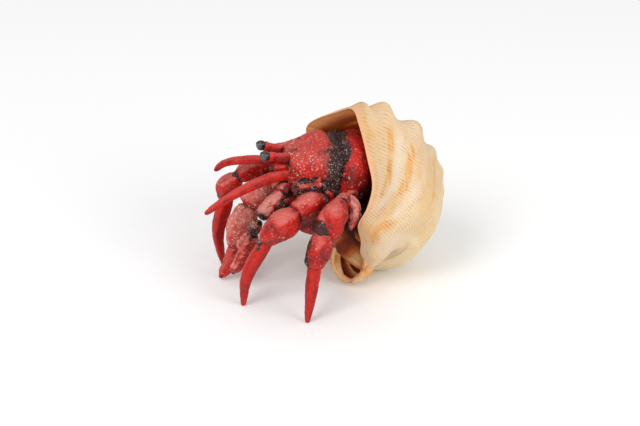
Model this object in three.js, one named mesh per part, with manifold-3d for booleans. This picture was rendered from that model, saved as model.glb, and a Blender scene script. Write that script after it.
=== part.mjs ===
// Toy hermit crab: a moulded and painted crab looking out of a knobbed whelk shell.
// Millimetres, +Z up, the crab looks towards -Y, its left side is +X, and the floor is z = 0.
import * as THREE from "three";
import { ParametricGeometry } from "three/addons/geometries/ParametricGeometry.js";
import { mergeVertices } from "three/addons/utils/BufferGeometryUtils.js";
import Module from "manifold-3d";

const wasm = await Module();
wasm.setup();

// ---- driving dimensions ----------------------------------------------------------------------
const TURN = 2 * Math.PI;
const DEG = Math.PI / 180;
const GAP = 0.3; // clearance between neighbouring pieces
const WELD = 0.004; // vertices closer than this become one
const SHIFT = [0, 2.18, 0]; // brings the centre of the footprint to the origin

// The shell coils about AXIS, which points at the apex. Sizes are for the lip, where the turn angle is 0.
const AXIS = new THREE.Vector3(-0.8, 0.59, 0.08).normalize();
const APEX = new THREE.Vector3(-15.5, 26, 27);
const GROWTH = 2.25; // how much one turn enlarges the whorl
const LOWER_BULGE = 0.175; // extra girth of the last whorl half a turn behind the lip
const BACK_DIP = 0.08; // lack of girth at its back
const CREST = 0.14; // extra girth just behind the lip
const WALL = 1.5;
const PARIETAL_WALL = 3.2; // extra wall on the inner side of the opening
const LIP_SPAN = 75 * DEG; // length of whorl over which the round whorl flares into the lip
const BASE_SPAN = 130 * DEG; // more length of flare at the base than at the shoulder
const SWELL = 6.5; // how far the base side of the last whorl swells behind the collar
const SWELL_TOWARDS = new THREE.Vector3(0.81, -0.3, 0.5).normalize();
const SEAM_SPAN = 2.5 * DEG; // clearance where the spire's whorl ends against the body's
const HOLLOW_SPAN = 36 * DEG; // how far the hollow runs back from the lip
const RIM_SPAN = 5 * DEG; // length of plain rim next to the lip, with no knobs
const SHELL_TURNS = 2.5;
const KNOBS = 20; // shoulder knobs in one turn
const STEP = (180 / KNOBS) * DEG; // from the top of a knob to the valley beside it
const LENGTH_STEPS = 3;
const KNOB_PHASE = 55 * DEG; // how far ahead of the turn's start the row of knobs begins
const RIM_KNOB = -5.5 * DEG; // turn angle of one more knob just behind the lip
const RIB_SLANT = 85 * DEG; // turn angle the ribs gain below the knobs, for a whole section round
const KNOB_HEIGHT = 3.2;
const RIB_HEIGHT = 0.45;

// Cross-section of the whorl as (distance from the axis, distance below the apex), from the suture
// over the shoulder and down the outer side to the base, then up the columella.
const SECTION = [
  [9, 8.5], [14, 10.5], [22, 13.5], [31, 18.5], [32.5, 24], [32.5, 30.5], [30.5, 36.5], [25.5, 41],
  [20, 43], [16, 43.5], [13, 43.5], [10.5, 43], [8, 42], [5.5, 40], [3, 35], [2.5, 26], [4.5, 16],
];

// The flared edge of the opening, point for point with SECTION: far corner, crest, near edge, notch,
// the foot above the spout, and the inner lip.
const LIP = [
  [-15, 2, 39.5], [-14, 1.6, 44.4], [-8, 6.4, 50], [-0.6, 10.3, 54.4], [6.1, 10.4, 51.8], [13.2, 10.4, 44],
  [17.5, 10.4, 37], [20, 7.8, 31], [20.5, 4.8, 26], [19.5, 6.2, 19.5], [17.6, 6.8, 14.5], [14, 5.8, 11.4],
  [9.5, 3.6, 10.4], [5.4, 2, 12], [2, 1.2, 15.5], [-3, 1.2, 20], [-11, 1, 31],
];

// The short spout under the opening, a cup with its front bitten away.
const SPOUT_PATH = [[13, 8, 17], [12.8, 6.4, 10.5], [13, 5.6, 1.2]];
const SPOUT_HALVES = [4.4, 6.8, 5.6];
const SPOUT_BITE = new THREE.Vector3(2.2, -3.4, 0.6);

// Each leg: hip, three knees and the tip, the four girths (half thickness) and how far each length bows.
const LEGS = {
  leg_front_l: {
    joints: [[4, 1, 29], [11.6, -3.4, 32], [15, -13.6, 30], [15.4, -24.2, 23.2], [12.2, -29.6, -0.6]],
    girths: [3.3, 4.1, 4.3, 2.45],
    bows: [[0, 0, 1], [0.6, -0.6, 0.4], [1.6, 0.2, 1.6], [0.2, -1.5, 0]],
  },
  leg_rear_l: {
    joints: [[8, 5.5, 26], [18, 0.4, 32.8], [23.8, -8.2, 28.6], [27, -12, 17.4], [27.9, -14.3, -0.6]],
    girths: [2.8, 4.1, 3.6, 2.2],
    bows: [[0, 2, 2.4], [0.6, 0.4, 0.6], [0.4, 0.6, 0], [0.4, 0, 0]],
  },
  leg_front_r: {
    joints: [[-4, 1, 30], [-10.8, -8.6, 33], [-11.6, -23.4, 31.2], [-13, -27.4, 22], [-11.9, -28.4, -0.6]],
    girths: [3.2, 3.3, 3.2, 2.6],
    bows: [[-0.6, 0, 1], [-0.6, 0, 1.4], [-0.4, -0.8, 0.8], [-0.6, -1.6, 1]],
  },
  leg_rear_r: {
    joints: [[-5, -1, 27], [-17, -2, 32.6], [-23.4, -9, 28.6], [-27, -12, 17.4], [-27.9, -14.3, -0.6]],
    girths: [2.8, 4, 3.6, 2.2],
    bows: [[0, 0, 2.4], [-0.6, 0.4, 0.6], [-0.4, 0.6, 0], [-0.4, 0, 0]],
  },
};
const LEG_LENGTHS = ["merus", "carpus", "propodus", "dactyl"];

// ---- solids ----------------------------------------------------------------------------------
function vec(p) {
  return new THREE.Vector3(p[0], p[1], p[2]);
}

// A closed solid from a function of two parameters: around (u) and along (v).
function parametricSolid(place, around, along) {
  const write = (u, v, target) => target.copy(place(u % 1, v));
  return solidFromGeometry(new ParametricGeometry(write, around, along));
}

function signedVolume(position, triangles) {
  const corner = (i) => new THREE.Vector3().fromArray(position, 3 * i);
  let volume = 0;
  for (let i = 0; i < triangles.length; i += 3) {
    volume += corner(triangles[i]).dot(corner(triangles[i + 1]).cross(corner(triangles[i + 2])));
  }
  return volume / 6;
}

// A rounded limb: a superellipse carried along a smooth path. halves are half thicknesses at even steps,
// flat is the width across X as a share of the thickness, and the ends close as blunt domes.
function limb(points, halves, { flat = 0.9, grow = 0, around = 8, along = 5, blunt = 4, square = 2.4 } = {}) {
  const path = new THREE.CatmullRomCurve3(points.map(vec));
  const girth = new THREE.CatmullRomCurve3(halves.map((h, i) => new THREE.Vector3(i, h, 0)));
  const across = new THREE.Vector3(1, 0, 0);
  return parametricSolid((u, v) => {
    const t = (1 - Math.cos(Math.PI * v)) / 2;
    const dome = Math.pow(Math.max(0, 1 - Math.pow(Math.abs(2 * t - 1), blunt)), 1 / blunt);
    const centre = path.getPoint(t);
    const tangent = path.getTangent(t);
    const high = new THREE.Vector3().crossVectors(tangent, across).normalize();
    const wide = new THREE.Vector3().crossVectors(high, tangent);
    const half = (girth.getPoint(t).y + grow) * dome;
    const [c, s] = [Math.cos(TURN * u), Math.sin(TURN * u)];
    const power = (x) => Math.sign(x) * Math.pow(Math.abs(x), 2 / square);
    return centre
      .addScaledVector(tangent, grow * (2 * t - 1))
      .addScaledVector(high, half * power(c))
      .addScaledVector(wide, half * flat * power(s));
  }, around, along);
}

// A straight-sided length between two knees, swollen in the middle and bowed sideways.
function legLength(from, to, girth, bow, ending) {
  const [a, b] = [vec(from), vec(to)];
  const middle = a.clone().lerp(b, 0.5).add(vec(bow));
  const shares = ending ? [0.94, 0.92, 0.62, 0.34] : [0.74, 1, 0.8];
  return { points: [a.toArray(), middle.toArray(), b.toArray()], halves: shares.map((s) => s * girth) };
}

// ---- the crab --------------------------------------------------------------------------------
const RED = { color: 0xb8161c, roughness: 0.45, metalness: 0 };
const PINK_RED = { color: 0xc2323a, roughness: 0.45, metalness: 0 };
const DARK_RED = { color: 0x6e1016, roughness: 0.5, metalness: 0 };
const BLACK = { color: 0x1c1716, roughness: 0.35, metalness: 0 };
const SHELL_CREAM = { color: 0xe3c79a, roughness: 0.65, metalness: 0 };

// name -> { points, halves, options, finish }, in the order in which pieces keep their whole shape
const pieces = new Map();

function addPiece(name, points, halves, options, finish) {
  pieces.set(name, { points, halves, options, finish });
}

function addHead() {
  for (const [side, x] of [["l", 1], ["r", -1]]) {
    const eyeAt = x > 0 ? [3.5 * x, -18.6, 45.2] : [3.5 * x, -17.6, 45.2];
    const [ex, ey, ez] = eyeAt;
    addPiece(`eye_${side}`, [[ex, ey + 1.2, ez - 0.1], [ex, ey - 0.3, ez], [ex, ey - 1.6, ez - 0.1]],
      [1.35, 1.5, 1.2], { flat: 0.9, along: 6 }, BLACK);
    addPiece(`eyestalk_${side}`, [[2.8 * x, -11.2, 42.6], [3.2 * x, -14.5, 43.9], [ex, ey + 1.5, ez - 0.2]],
      [1.9, 1.35, 1.5], { flat: 1 }, RED);
  }
  const feeler = { flat: 1, along: 9 };
  addPiece("antenna_l",
    [[4, -10, 38], [5.6, -17.5, 38.7], [8, -26, 38], [10.6, -34, 36.6], [13.2, -40.6, 34.8]],
    [1.9, 1.6, 1.4, 1.2, 1], feeler, PINK_RED);
  addPiece("antenna_r",
    [[-3, -10, 38.6], [-4.6, -17, 39.6], [-7.4, -23.2, 39.2], [-10, -27.6, 37.6], [-11.8, -30.2, 34.6]],
    [1.6, 1.4, 1.25, 1.1, 0.85], feeler, PINK_RED);
}

function addTrunk() {
  addPiece("carapace_front", [[0, -12.2, 39.6], [0, -5, 38.4], [0, 3.2, 37.2]],
    [5.4, 7.4, 10.4], { flat: 1.34, around: 12, along: 6, blunt: 7, square: 2.5 }, RED);
  addPiece("carapace_rear", [[0.8, 3.8, 36.8], [3, 9, 36.4], [6, 15, 35.6]],
    [10.8, 11, 8.2], { flat: 1, around: 12, along: 5, blunt: 5 }, RED);
  addPiece("mouthparts", [[2.4, -9, 31], [3.4, -13, 30.8], [3.6, -16.4, 28.6]],
    [3.6, 3.4, 2.4], { flat: 1.3 }, DARK_RED);
  addPiece("thorax", [[0.6, -11.5, 29.6], [0.8, -4, 25.8], [1.6, 5, 24.6], [2.4, 12, 26]],
    [6.6, 9.6, 9.6, 7.5], { flat: 1.02, around: 10, along: 6, blunt: 3 }, DARK_RED);
}

function addClaws() {
  const big = { flat: 0.92 };
  addPiece("claw_large_finger",
    [[-3.2, -25.4, 11.6], [-3.3, -28.4, 6], [-4, -32, 0.6]], [3.4, 2.5, 1], big, RED);
  addPiece("claw_large_thumb",
    [[-0.6, -24.6, 12], [0.3, -27, 8], [-1, -29.8, 4.2]], [1.7, 1.6, 0.7], {}, DARK_RED);
  addPiece("claw_large_palm",
    [[-4.5, -22, 25], [-3.6, -24.6, 17.6], [-3.2, -26.2, 10.4]], [3.4, 4.6, 3.6], big, RED);
  addPiece("claw_large_carpus",
    [[-5, -14, 28.4], [-4.8, -18.6, 27.6], [-4.4, -22.2, 24.4]], [3.2, 4.4, 3.6], big, RED);
  addPiece("claw_large_merus",
    [[-4.6, -8, 28], [-5, -11, 29], [-5, -14.6, 28.6]], [3, 3.2, 2.8], big, RED);
  addPiece("claw_small_finger",
    [[5.2, -25.8, 15], [4.4, -28, 10], [3, -30, 5.8]], [2.6, 1.9, 0.7], {}, RED);
  addPiece("claw_small_palm",
    [[7, -24.4, 21.4], [6, -25.4, 17.4], [5.2, -26, 14.4]], [2.2, 3, 2.5], {}, RED);
  addPiece("claw_small_carpus",
    [[9, -22.6, 26.4], [8, -23.8, 23.8], [7, -24.4, 21.6]], [1.8, 2.3, 2], {}, DARK_RED);
  addPiece("claw_small_merus",
    [[6.2, -13.4, 34], [7.6, -18.2, 31.4], [9, -22.4, 27.4]], [1.7, 1.9, 2.1], {}, PINK_RED);
}

function addLegs() {
  for (const [leg, { joints, girths, bows }] of Object.entries(LEGS)) {
    LEG_LENGTHS.forEach((length, i) => {
      const { points, halves } = legLength(joints[i], joints[i + 1], girths[i], bows[i], length === "dactyl");
      addPiece(`${leg}_${length}`, points, halves, { along: length === "dactyl" ? 7 : 5 }, RED);
    });
  }
  addPiece("leg_fourth_l", [[10, 4, 24], [16.6, 0.8, 26.2], [18.3, -1.6, 23.6], [18, -2.8, 18.2]],
    [2.4, 2.4, 1.8, 0.8], {}, RED);
  addPiece("leg_fourth_r", [[-7, 2, 23], [-12.6, -1.2, 25.2], [-14.2, -3, 22.4], [-14, -4, 17.4]],
    [2.2, 2.2, 1.7, 0.8], {}, RED);
}

// ---- the shell -------------------------------------------------------------------------------
const UP = new THREE.Vector3(0, 0, 1).addScaledVector(AXIS, -AXIS.z).normalize();
const SIDE = new THREE.Vector3().crossVectors(AXIS, UP);
const MOUTH_FACING = new THREE.Vector3(0.26, -1, 0.15).normalize();

// Smooth closed curve through a ring of points, at t turns round the ring.
function closedCurve(points, t) {
  const n = points.length;
  const x = (((t % 1) + 1) % 1) * n;
  const i = Math.floor(x);
  const f = x - i;
  const [p0, p1, p2, p3] = [-1, 0, 1, 2].map((k) => points[(i + k + n) % n]);
  return p1.map((_, k) => 0.5 * (2 * p1[k] + (p2[k] - p0[k]) * f
    + (2 * p0[k] - 5 * p1[k] + 4 * p2[k] - p3[k]) * f * f
    + (3 * p1[k] - p0[k] - 3 * p2[k] + p3[k]) * f * f * f));
}

function bell(x, centre, width) {
  return Math.exp(-(((x - centre) / width) ** 2));
}

// Size of the whorl at a turn angle: a steady spiral with a bulge below and a dip at the back.
function whorlScale(turn) {
  const shape = LOWER_BULGE * bell(turn, -190 * DEG, 65 * DEG) - BACK_DIP * bell(turn, -85 * DEG, 38 * DEG)
    + CREST * bell(turn, -22 * DEG, 23 * DEG);
  return GROWTH ** (turn / TURN) * (1 + shape);
}

function ease(x, low, high) {
  const share = Math.min(Math.max((x - low) / (high - low), 0), 1);
  return share * share * (3 - 2 * share);
}

// Height of the knobs and ribs at a turn angle and a place round the section. The knobs are bold near the
// lip, low on the side of the last whorl and plain again on the whorls above.
function relief(turn, ring) {
  const slanted = turn - RIB_SLANT * Math.max(ring - 4.4 / SECTION.length, 0);
  const bold = 0.22 + 0.78 * ease(slanted, -74 * DEG, -12 * DEG) + 0.4 * ease(-slanted, 190 * DEG, 260 * DEG);
  const wave = (0.5 + 0.5 * Math.cos(KNOBS * slanted - KNOB_PHASE)) ** 1.4;
  const crest = bold * wave + 0.7 * bell(slanted, RIM_KNOB, 3.2 * DEG);
  const knob = KNOB_HEIGHT * bell(ring, 3.1 / SECTION.length, 0.04);
  const rib = RIB_HEIGHT * bell(ring, 5.5 / SECTION.length, 0.1);
  return (knob + rib) * crest * whorlScale(turn);
}

function whorlPoint(turn, ring) {
  const [out, down] = closedCurve(SECTION, ring);
  const radial = UP.clone().multiplyScalar(Math.cos(turn)).addScaledVector(SIDE, -Math.sin(turn));
  const scale = whorlScale(turn);
  return APEX.clone().addScaledVector(radial, scale * out).addScaledVector(AXIS, -scale * down);
}

// How far the whorl has opened into the lip: 0 on the plain whorl, 1 at the lip. It starts further back at
// the base than at the shoulder.
function flareShare(turn, ring) {
  const count = SECTION.length;
  const span = LIP_SPAN + BASE_SPAN * bell(ring, 9.2 / count, 3.4 / count);
  return ease(turn / span, -1, 0);
}

// The outer skin of the shell: the spiral whorl, swollen behind the collar and flaring into the lip.
function shellPoint(turn, ring) {
  const point = whorlPoint(turn, ring);
  const radial = UP.clone().multiplyScalar(Math.cos(turn)).addScaledVector(SIDE, -Math.sin(turn));
  const share = flareShare(turn, ring);
  const rise = relief(turn, ring) * Math.min(1, -turn / RIM_SPAN);
  const count = SECTION.length;
  const swell = SWELL * bell(turn, -92 * DEG, 40 * DEG) * bell(ring, 8.8 / count, 3.4 / count);
  point.addScaledVector(radial, 0.85 * rise).addScaledVector(AXIS, 0.5 * rise);
  point.addScaledVector(SWELL_TOWARDS, swell);
  if (share === 0) return point;
  const flare = vec(closedCurve(LIP, ring)).sub(whorlPoint(0, ring));
  return point.addScaledVector(flare, share);
}

function sectionCentre(turn) {
  const centre = new THREE.Vector3();
  const count = SECTION.length;
  SECTION.forEach((_, i) => centre.addScaledVector(shellPoint(turn, i / count), 1 / count));
  return centre;
}

// The skin moved across its own section: inwards for a positive inset, outwards for a negative one.
function insetPoint(turn, ring, inset) {
  const point = shellPoint(turn, ring);
  if (inset === 0) return point;
  const step = 0.01;
  const round = shellPoint(turn, ring + step).sub(shellPoint(turn, ring - step));
  const forward = UP.clone().multiplyScalar(-Math.sin(turn)).addScaledVector(SIDE, -Math.cos(turn));
  forward.lerp(MOUTH_FACING, flareShare(turn, ring));
  const place = SECTION.length * ring;
  const extra = PARIETAL_WALL * bell(place, 15.6, 1.7);
  const depth = inset > 0 ? inset + extra : inset;
  return point.addScaledVector(round.cross(forward).normalize(), depth);
}

// A length of whorl with closed ends.
function whorlSolid(fromTurn, toTurn, around, along, inset = 0) {
  return parametricSolid((u, v) => {
    const row = Math.round(v * (along + 2));
    const step = Math.min(Math.max(row - 1, 0), along) / along;
    const turn = fromTurn + (toTurn - fromTurn) * step;
    return row === 0 || row === along + 2 ? sectionCentre(turn) : insetPoint(turn, u, inset);
  }, around, along + 2);
}

// The whorl from one count of steps behind the lip to another, in short lengths that share their end faces.
function whorls(fromStep, toStep, around, inset = 0) {
  const lengths = [];
  for (let step = fromStep; step > toStep; step -= LENGTH_STEPS) {
    const next = Math.max(step - LENGTH_STEPS, toStep);
    lengths.push(whorlSolid(-step * STEP, -next * STEP, around, step - next, inset));
  }
  return wasm.Manifold.union(lengths);
}

// What has to be cleared just inside and in front of the lip to open the mouth.
function mouthPlug() {
  return parametricSolid((u, v) => {
    const row = Math.round(3 * v);
    const point = row === 0 || row === 3 ? sectionCentre(0) : insetPoint(0, u, WALL);
    return point.addScaledVector(MOUTH_FACING, row < 2 ? -WALL / 2 : WALL);
  }, 19, 3);
}

function buildShell() {
  const turn = TURN / STEP;
  const spire = whorls(SHELL_TURNS * turn, turn, 9);
  const seam = whorlSolid(-TURN, -TURN + SEAM_SPAN, 9, 1, -GAP);
  const spireRoom = whorls(SHELL_TURNS * turn, turn, 9, -GAP).add(seam);
  const body = whorls(turn, turn / 2, 15).add(whorls(turn / 2 + 1, 0, 19));
  const cavity = whorls(HOLLOW_SPAN / STEP, 0, 19, WALL).add(mouthPlug());
  const cup = { flat: 0.84, around: 12, along: 6, blunt: 3 };
  const spout = (grow) => limb(SPOUT_PATH, SPOUT_HALVES, { ...cup, grow });
  const bite = spout(-WALL).translate(SPOUT_BITE.toArray()).add(spout(-WALL));
  return {
    shell_spire: spire.subtract(cavity),
    shell_spout: spout(0).subtract(bite),
    shell_body_whorl: body.subtract(cavity).subtract(spireRoom).subtract(spout(GAP)),
  };
}

// ---- parting and trimming --------------------------------------------------------------------
function largestBody(solid) {
  return solid.decompose().reduce((best, body) => (body.volume() > best.volume() ? body : best));
}

// The largest body once vertices closer than the weld are one, so that no thread or film joins or seals it.
function cleaned(solid) {
  const mesh = largestBody(solid).getMesh();
  const rounded = mesh.vertProperties.map((x) => Math.round(x / WELD) * WELD);
  const geometry = new THREE.BufferGeometry();
  geometry.setAttribute("position", new THREE.BufferAttribute(rounded, 3));
  geometry.setIndex(new THREE.BufferAttribute(mesh.triVerts, 1));
  return largestBody(solidFromGeometry(geometry));
}

function boxesMeet(a, b) {
  const [p, q] = [a.boundingBox(), b.boundingBox()];
  return [0, 1, 2].every((k) => p.min[k] < q.max[k] && q.min[k] < p.max[k]);
}

function solidFromGeometry(geometry) {
  geometry.deleteAttribute("normal");
  geometry.deleteAttribute("uv");
  const merged = mergeVertices(geometry, 1e-4);
  const index = merged.index.array;
  const triangles = [];
  for (let i = 0; i < index.length; i += 3) {
    const [a, b, c] = [index[i], index[i + 1], index[i + 2]];
    if (a !== b && b !== c && c !== a) triangles.push(a, b, c);
  }
  const position = merged.attributes.position.array;
  if (signedVolume(position, triangles) < 0) triangles.reverse();
  return new wasm.Manifold(new wasm.Mesh({
    numProp: 3,
    vertProperties: new Float32Array(position),
    triVerts: new Uint32Array(triangles),
  }));
}

function geometryFromSolid(solid) {
  const mesh = solid.getMesh();
  const geometry = new THREE.BufferGeometry();
  geometry.setAttribute("position", new THREE.BufferAttribute(new Float32Array(mesh.vertProperties), 3));
  geometry.setIndex(new THREE.BufferAttribute(new Uint32Array(mesh.triVerts), 1));
  return geometry;
}

const BIG = 200;
const belowFloor = solidFromGeometry(new THREE.BoxGeometry(BIG, BIG, BIG).translate(0, 0, -BIG / 2));

// ---- assembly --------------------------------------------------------------------------------
addHead();
addTrunk();
addClaws();
addLegs();

const hermitCrab = new THREE.Group();

function addMesh(name, solid, finish) {
  const placed = cleaned(cleaned(solid.translate(SHIFT)));
  const mesh = new THREE.Mesh(geometryFromSolid(placed), new THREE.MeshStandardMaterial(finish));
  mesh.name = name;
  hermitCrab.add(mesh);
}

const grown = [];
for (const [name, { points, halves, options, finish }] of pieces) {
  let solid = limb(points, halves, options).subtract(belowFloor);
  for (const other of grown) {
    if (boxesMeet(other, solid)) solid = solid.subtract(other);
  }
  addMesh(name, solid, finish);
  grown.push(limb(points, halves, { ...options, grow: GAP }));
}

for (const [name, whole] of Object.entries(buildShell())) {
  let solid = whole.subtract(belowFloor);
  for (const other of grown) {
    if (boxesMeet(other, solid)) solid = solid.subtract(other);
  }
  addMesh(name, solid, SHELL_CREAM);
}

export default hermitCrab;
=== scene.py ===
"""Painted toy hermit crab: a red crab looking out of a cream whelk shell, with its stage.

Shapes are worked out in millimetres and turned into metres when they become a mesh. +Z is up, the crab
looks towards -Y and its left side is +X.
"""
import math
from typing import NamedTuple

import bpy
import numpy as np
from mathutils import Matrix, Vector


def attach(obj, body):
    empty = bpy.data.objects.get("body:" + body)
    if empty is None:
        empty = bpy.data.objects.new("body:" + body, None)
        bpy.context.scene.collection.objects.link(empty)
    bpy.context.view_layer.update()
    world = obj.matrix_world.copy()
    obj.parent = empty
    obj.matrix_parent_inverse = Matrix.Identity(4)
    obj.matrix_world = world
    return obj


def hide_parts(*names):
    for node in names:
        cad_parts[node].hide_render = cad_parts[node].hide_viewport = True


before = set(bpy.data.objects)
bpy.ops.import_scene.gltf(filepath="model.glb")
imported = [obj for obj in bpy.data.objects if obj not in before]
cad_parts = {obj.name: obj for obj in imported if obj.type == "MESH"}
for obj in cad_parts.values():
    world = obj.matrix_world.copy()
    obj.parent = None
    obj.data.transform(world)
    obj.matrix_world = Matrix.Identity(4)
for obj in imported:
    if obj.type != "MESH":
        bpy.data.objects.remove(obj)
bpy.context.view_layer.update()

bl_info = {
    "name": "Toy hermit crab",
    "version": (1, 0, 0),
    "blender": (4, 5, 0),
    "location": "3D View > Sidebar > Crab",
    "description": "Builds a painted plastic hermit crab in its shell, piece by piece",
    "category": "Object",
}

BODY = "root"
MM = 0.001
CENTRE_SHIFT = np.array([0, 2.18, 0])  # mm, from the drawing's origin to the middle of the footprint
TURN = 2 * math.pi


# ---- random relief ---------------------------------------------------------------------------
def random_share(cells, seed):
    """A number from 0 to 1 for each whole cell (last axis x, y, z): its bits mixed by products and shifts."""
    x, y, z = (cells[..., k].astype(np.int64).astype(np.uint64) for k in range(3))
    mixed = x * np.uint64(73856093) ^ y * np.uint64(19349663) ^ z * np.uint64(83492791)
    mixed = (mixed ^ np.uint64(seed * 40503 + 977)) * np.uint64(11400714819323198485)
    mixed = (mixed ^ (mixed >> np.uint64(29))) * np.uint64(13787848793156543929)
    return (mixed >> np.uint64(40)) / float(1 << 24)


def lumps(points, size, seed):
    """Smooth relief from -1 to 1: random heights at the corners of cubes of that size, eased between them."""
    scaled = points / size
    base = np.floor(scaled)
    inside = scaled - base
    eased = inside * inside * (3 - 2 * inside)
    height = 0
    for corner in np.ndindex(2, 2, 2):
        offset = np.array(corner)
        weight = np.prod(np.where(offset == 1, eased, 1 - eased), axis=-1)
        height = height + weight * random_share(base + offset, seed)
    return 2 * height - 1


def grains(points, size, seed, fill=1.0):
    """Round grains from 0 to 1: one ball in each cube of that size, off its middle, cut by the surface."""
    scaled = points / size
    base = np.floor(scaled)
    height = np.zeros(points.shape[:-1])
    for neighbour in np.ndindex(3, 3, 3):
        cell = base + np.array(neighbour) - 1
        jitter = np.stack([random_share(cell, seed + k) for k in range(3)], axis=-1)
        radius = 0.16 + 0.36 * random_share(cell, seed + 3) ** 2
        gap = np.sum((scaled - cell - 0.2 - 0.6 * jitter) ** 2, axis=-1) / radius**2
        present = random_share(cell, seed + 4) < fill
        height = np.maximum(height, present * np.sqrt(np.clip(1 - gap, 0, 1)) * radius / 0.52)
    return height


# ---- curves ----------------------------------------------------------------------------------
def bell(x, centre, width):
    """1 at the centre, falling to 1/e at that width either side."""
    return np.exp(-(((x - centre) / width) ** 2))


def ease(x, low, high):
    """0 at low, 1 at high, a smooth S between them and level beyond."""
    share = np.clip((x - low) / (high - low), 0, 1)
    return share * share * (3 - 2 * share)


def through(points, share):
    """Points at shares 0 to 1 of a Catmull-Rom curve through a row of points, its knots spaced by the root of
    the distance."""
    points = np.asarray(points, float)
    ends = 2 * points[[0, -1]] - points[[1, -2]]
    knots = np.vstack([ends[:1], points, ends[1:]])
    place = np.clip(share, 0, 1) * (len(points) - 1)
    start = np.minimum(place.astype(int), len(points) - 2)
    w = (place - start)[:, None]
    p0, p1, p2, p3 = (knots[start + k] for k in range(4))
    d0, d1, d2 = (np.linalg.norm(b - a, axis=1)[:, None] ** 0.5 for a, b in ((p0, p1), (p1, p2), (p2, p3)))
    slope1 = ((p1 - p0) / d0 - (p2 - p0) / (d0 + d1) + (p2 - p1) / d1) * d1
    slope2 = ((p2 - p1) / d1 - (p3 - p1) / (d1 + d2) + (p3 - p2) / d2) * d1
    square, cube = w * w, w * w * w
    return (p1 + slope1 * w + (3 * (p2 - p1) - 2 * slope1 - slope2) * square
            + (2 * (p1 - p2) + slope1 + slope2) * cube)


def closed_curve(points, turns):
    """Points of a smooth closed curve through a ring of points, at so many turns round the ring."""
    points = np.asarray(points, float)
    count = len(points)
    place = np.mod(turns, 1) * count
    start = np.floor(place).astype(int)
    f = (place - start)[..., None]
    p0, p1, p2, p3 = (points[(start + k) % count] for k in (-1, 0, 1, 2))
    return 0.5 * (2 * p1 + (p2 - p0) * f + (2 * p0 - 5 * p1 + 4 * p2 - p3) * f**2
                  + (3 * p1 - p0 - 3 * p2 + p3) * f**3)


def unit(vectors):
    return vectors / np.maximum(np.linalg.norm(vectors, axis=-1, keepdims=True), 1e-9)


def normals_of(rows):
    """Outward normals of a grid whose rows are closed rings: the cross product of its two directions."""
    along = np.gradient(rows, axis=0)
    around = np.roll(rows, -1, axis=1) - np.roll(rows, 1, axis=1)
    normals = unit(np.cross(around, along))
    outward = np.sum(normals * (rows - rows.mean(axis=1, keepdims=True)))
    return normals if outward > 0 else -normals


# ---- meshes ----------------------------------------------------------------------------------
def make_piece(name, rows, paints, material, nodes=()):
    """A closed mesh from rings of points whose first and last ring are one point each, with a number at each
    point for each paint. It takes the place of the named nodes of the drawing, if there are any."""
    count, around = rows.shape[:2]
    rows = rows + CENTRE_SHIFT
    rows[..., 2] = np.maximum(rows[..., 2], 0)
    points = np.vstack([rows[0].mean(0), rows[1:-1].reshape(-1, 3), rows[-1].mean(0)]) * MM
    here = np.arange(around)
    beside = (here + 1) % around
    first = 1 + np.arange(count - 3)[:, None] * around
    quads = np.stack([first + here, first + beside, first + beside + around, first + here + around], axis=-1)
    last = len(points) - 1
    start_fan = np.stack([np.zeros(around, int), 1 + beside, 1 + here], axis=-1)
    end_fan = np.stack([np.full(around, last), last - around + here, last - around + beside], axis=-1)
    low, right, _, high = (points[quads[..., k]] for k in range(4))
    flip = np.sum(np.cross(right - low, high - low) * (low - points.mean(0))) < 0
    faces = [*quads.reshape(-1, 4).tolist(), *start_fan.tolist(), *end_fan.tolist()]
    mesh = bpy.data.meshes.new(name)
    mesh.from_pydata(points.tolist(), [], [face[::-1] for face in faces] if flip else faces)
    mesh.polygons.foreach_set("use_smooth", np.ones(len(faces), bool))
    for paint, values in paints.items():
        values = np.broadcast_to(values, (count, around))
        flat = np.concatenate([[values[0].mean()], values[1:-1].ravel(), [values[-1].mean()]])
        layer = mesh.attributes.new(paint, "FLOAT", "POINT")
        layer.data.foreach_set("value", flat.astype(np.float32))
    mesh.materials.append(material)
    mesh.update()
    piece = bpy.data.objects.new(name, mesh)
    bpy.context.scene.collection.objects.link(piece)
    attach(piece, BODY)
    if nodes:
        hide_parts(*nodes)


# ---- the shell's shape -----------------------------------------------------------------------
AXIS = unit(np.array([-0.8, 0.59, 0.08]))  # towards the apex
APEX = np.array([-15.5, 26, 27])
UP = unit(np.array([0, 0, 1]) - AXIS * AXIS[2])
SIDE = np.cross(AXIS, UP)
MOUTH_FACING = unit(np.array([0.26, -1, 0.15]))
GROWTH = 2.25  # how much one turn enlarges the whorl
LIP_SPAN = math.radians(75)
BASE_SPAN = math.radians(130)  # more length of flare at the base than at the shoulder
RIM_SPAN = math.radians(5)
HOLLOW_SPAN = math.radians(58)
FINE_SPAN = math.radians(110)  # behind the lip, where the rows are closest
CAP_STEP = 0.001  # radians, a thin last row beside a flat end keeps the end from bending the skin's shading
SHELL_TURNS = 2.5
APEX_DEPTH = 2.6  # mm, from the apex to the middle of the small bead that closes the spire
APEX_HALF = 2.0  # mm
KNOBS = 20
KNOB_PHASE = math.radians(55)  # how far ahead of the turn's start the row of knobs begins
RIM_KNOB = -5.5  # degrees, the rib behind the lip
RIB_SLANT = math.radians(85)  # turn angle that the ribs gain from the knobs to a whole section further round
CORD_SLANT = 11  # cords that a line of the cords crosses in one radian of turn
PARIETAL_WALL = 2.6  # mm, extra wall on the opening's inner side
WAVE_SIZE = 5.5  # mm, the shell's broad unevenness
WAVE_HEIGHT = 0.22  # mm
FOLD_HEIGHT = 0.2  # mm, the folds inside
SWELL_TOWARDS = unit(np.array([0.81, -0.3, 0.5]))
SWELL = 6.5  # mm, how far the base side of the last whorl swells behind the collar
BASE_FILL = 6.0  # mm, fills the hollow at the base where the collar meets the last whorl

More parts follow.
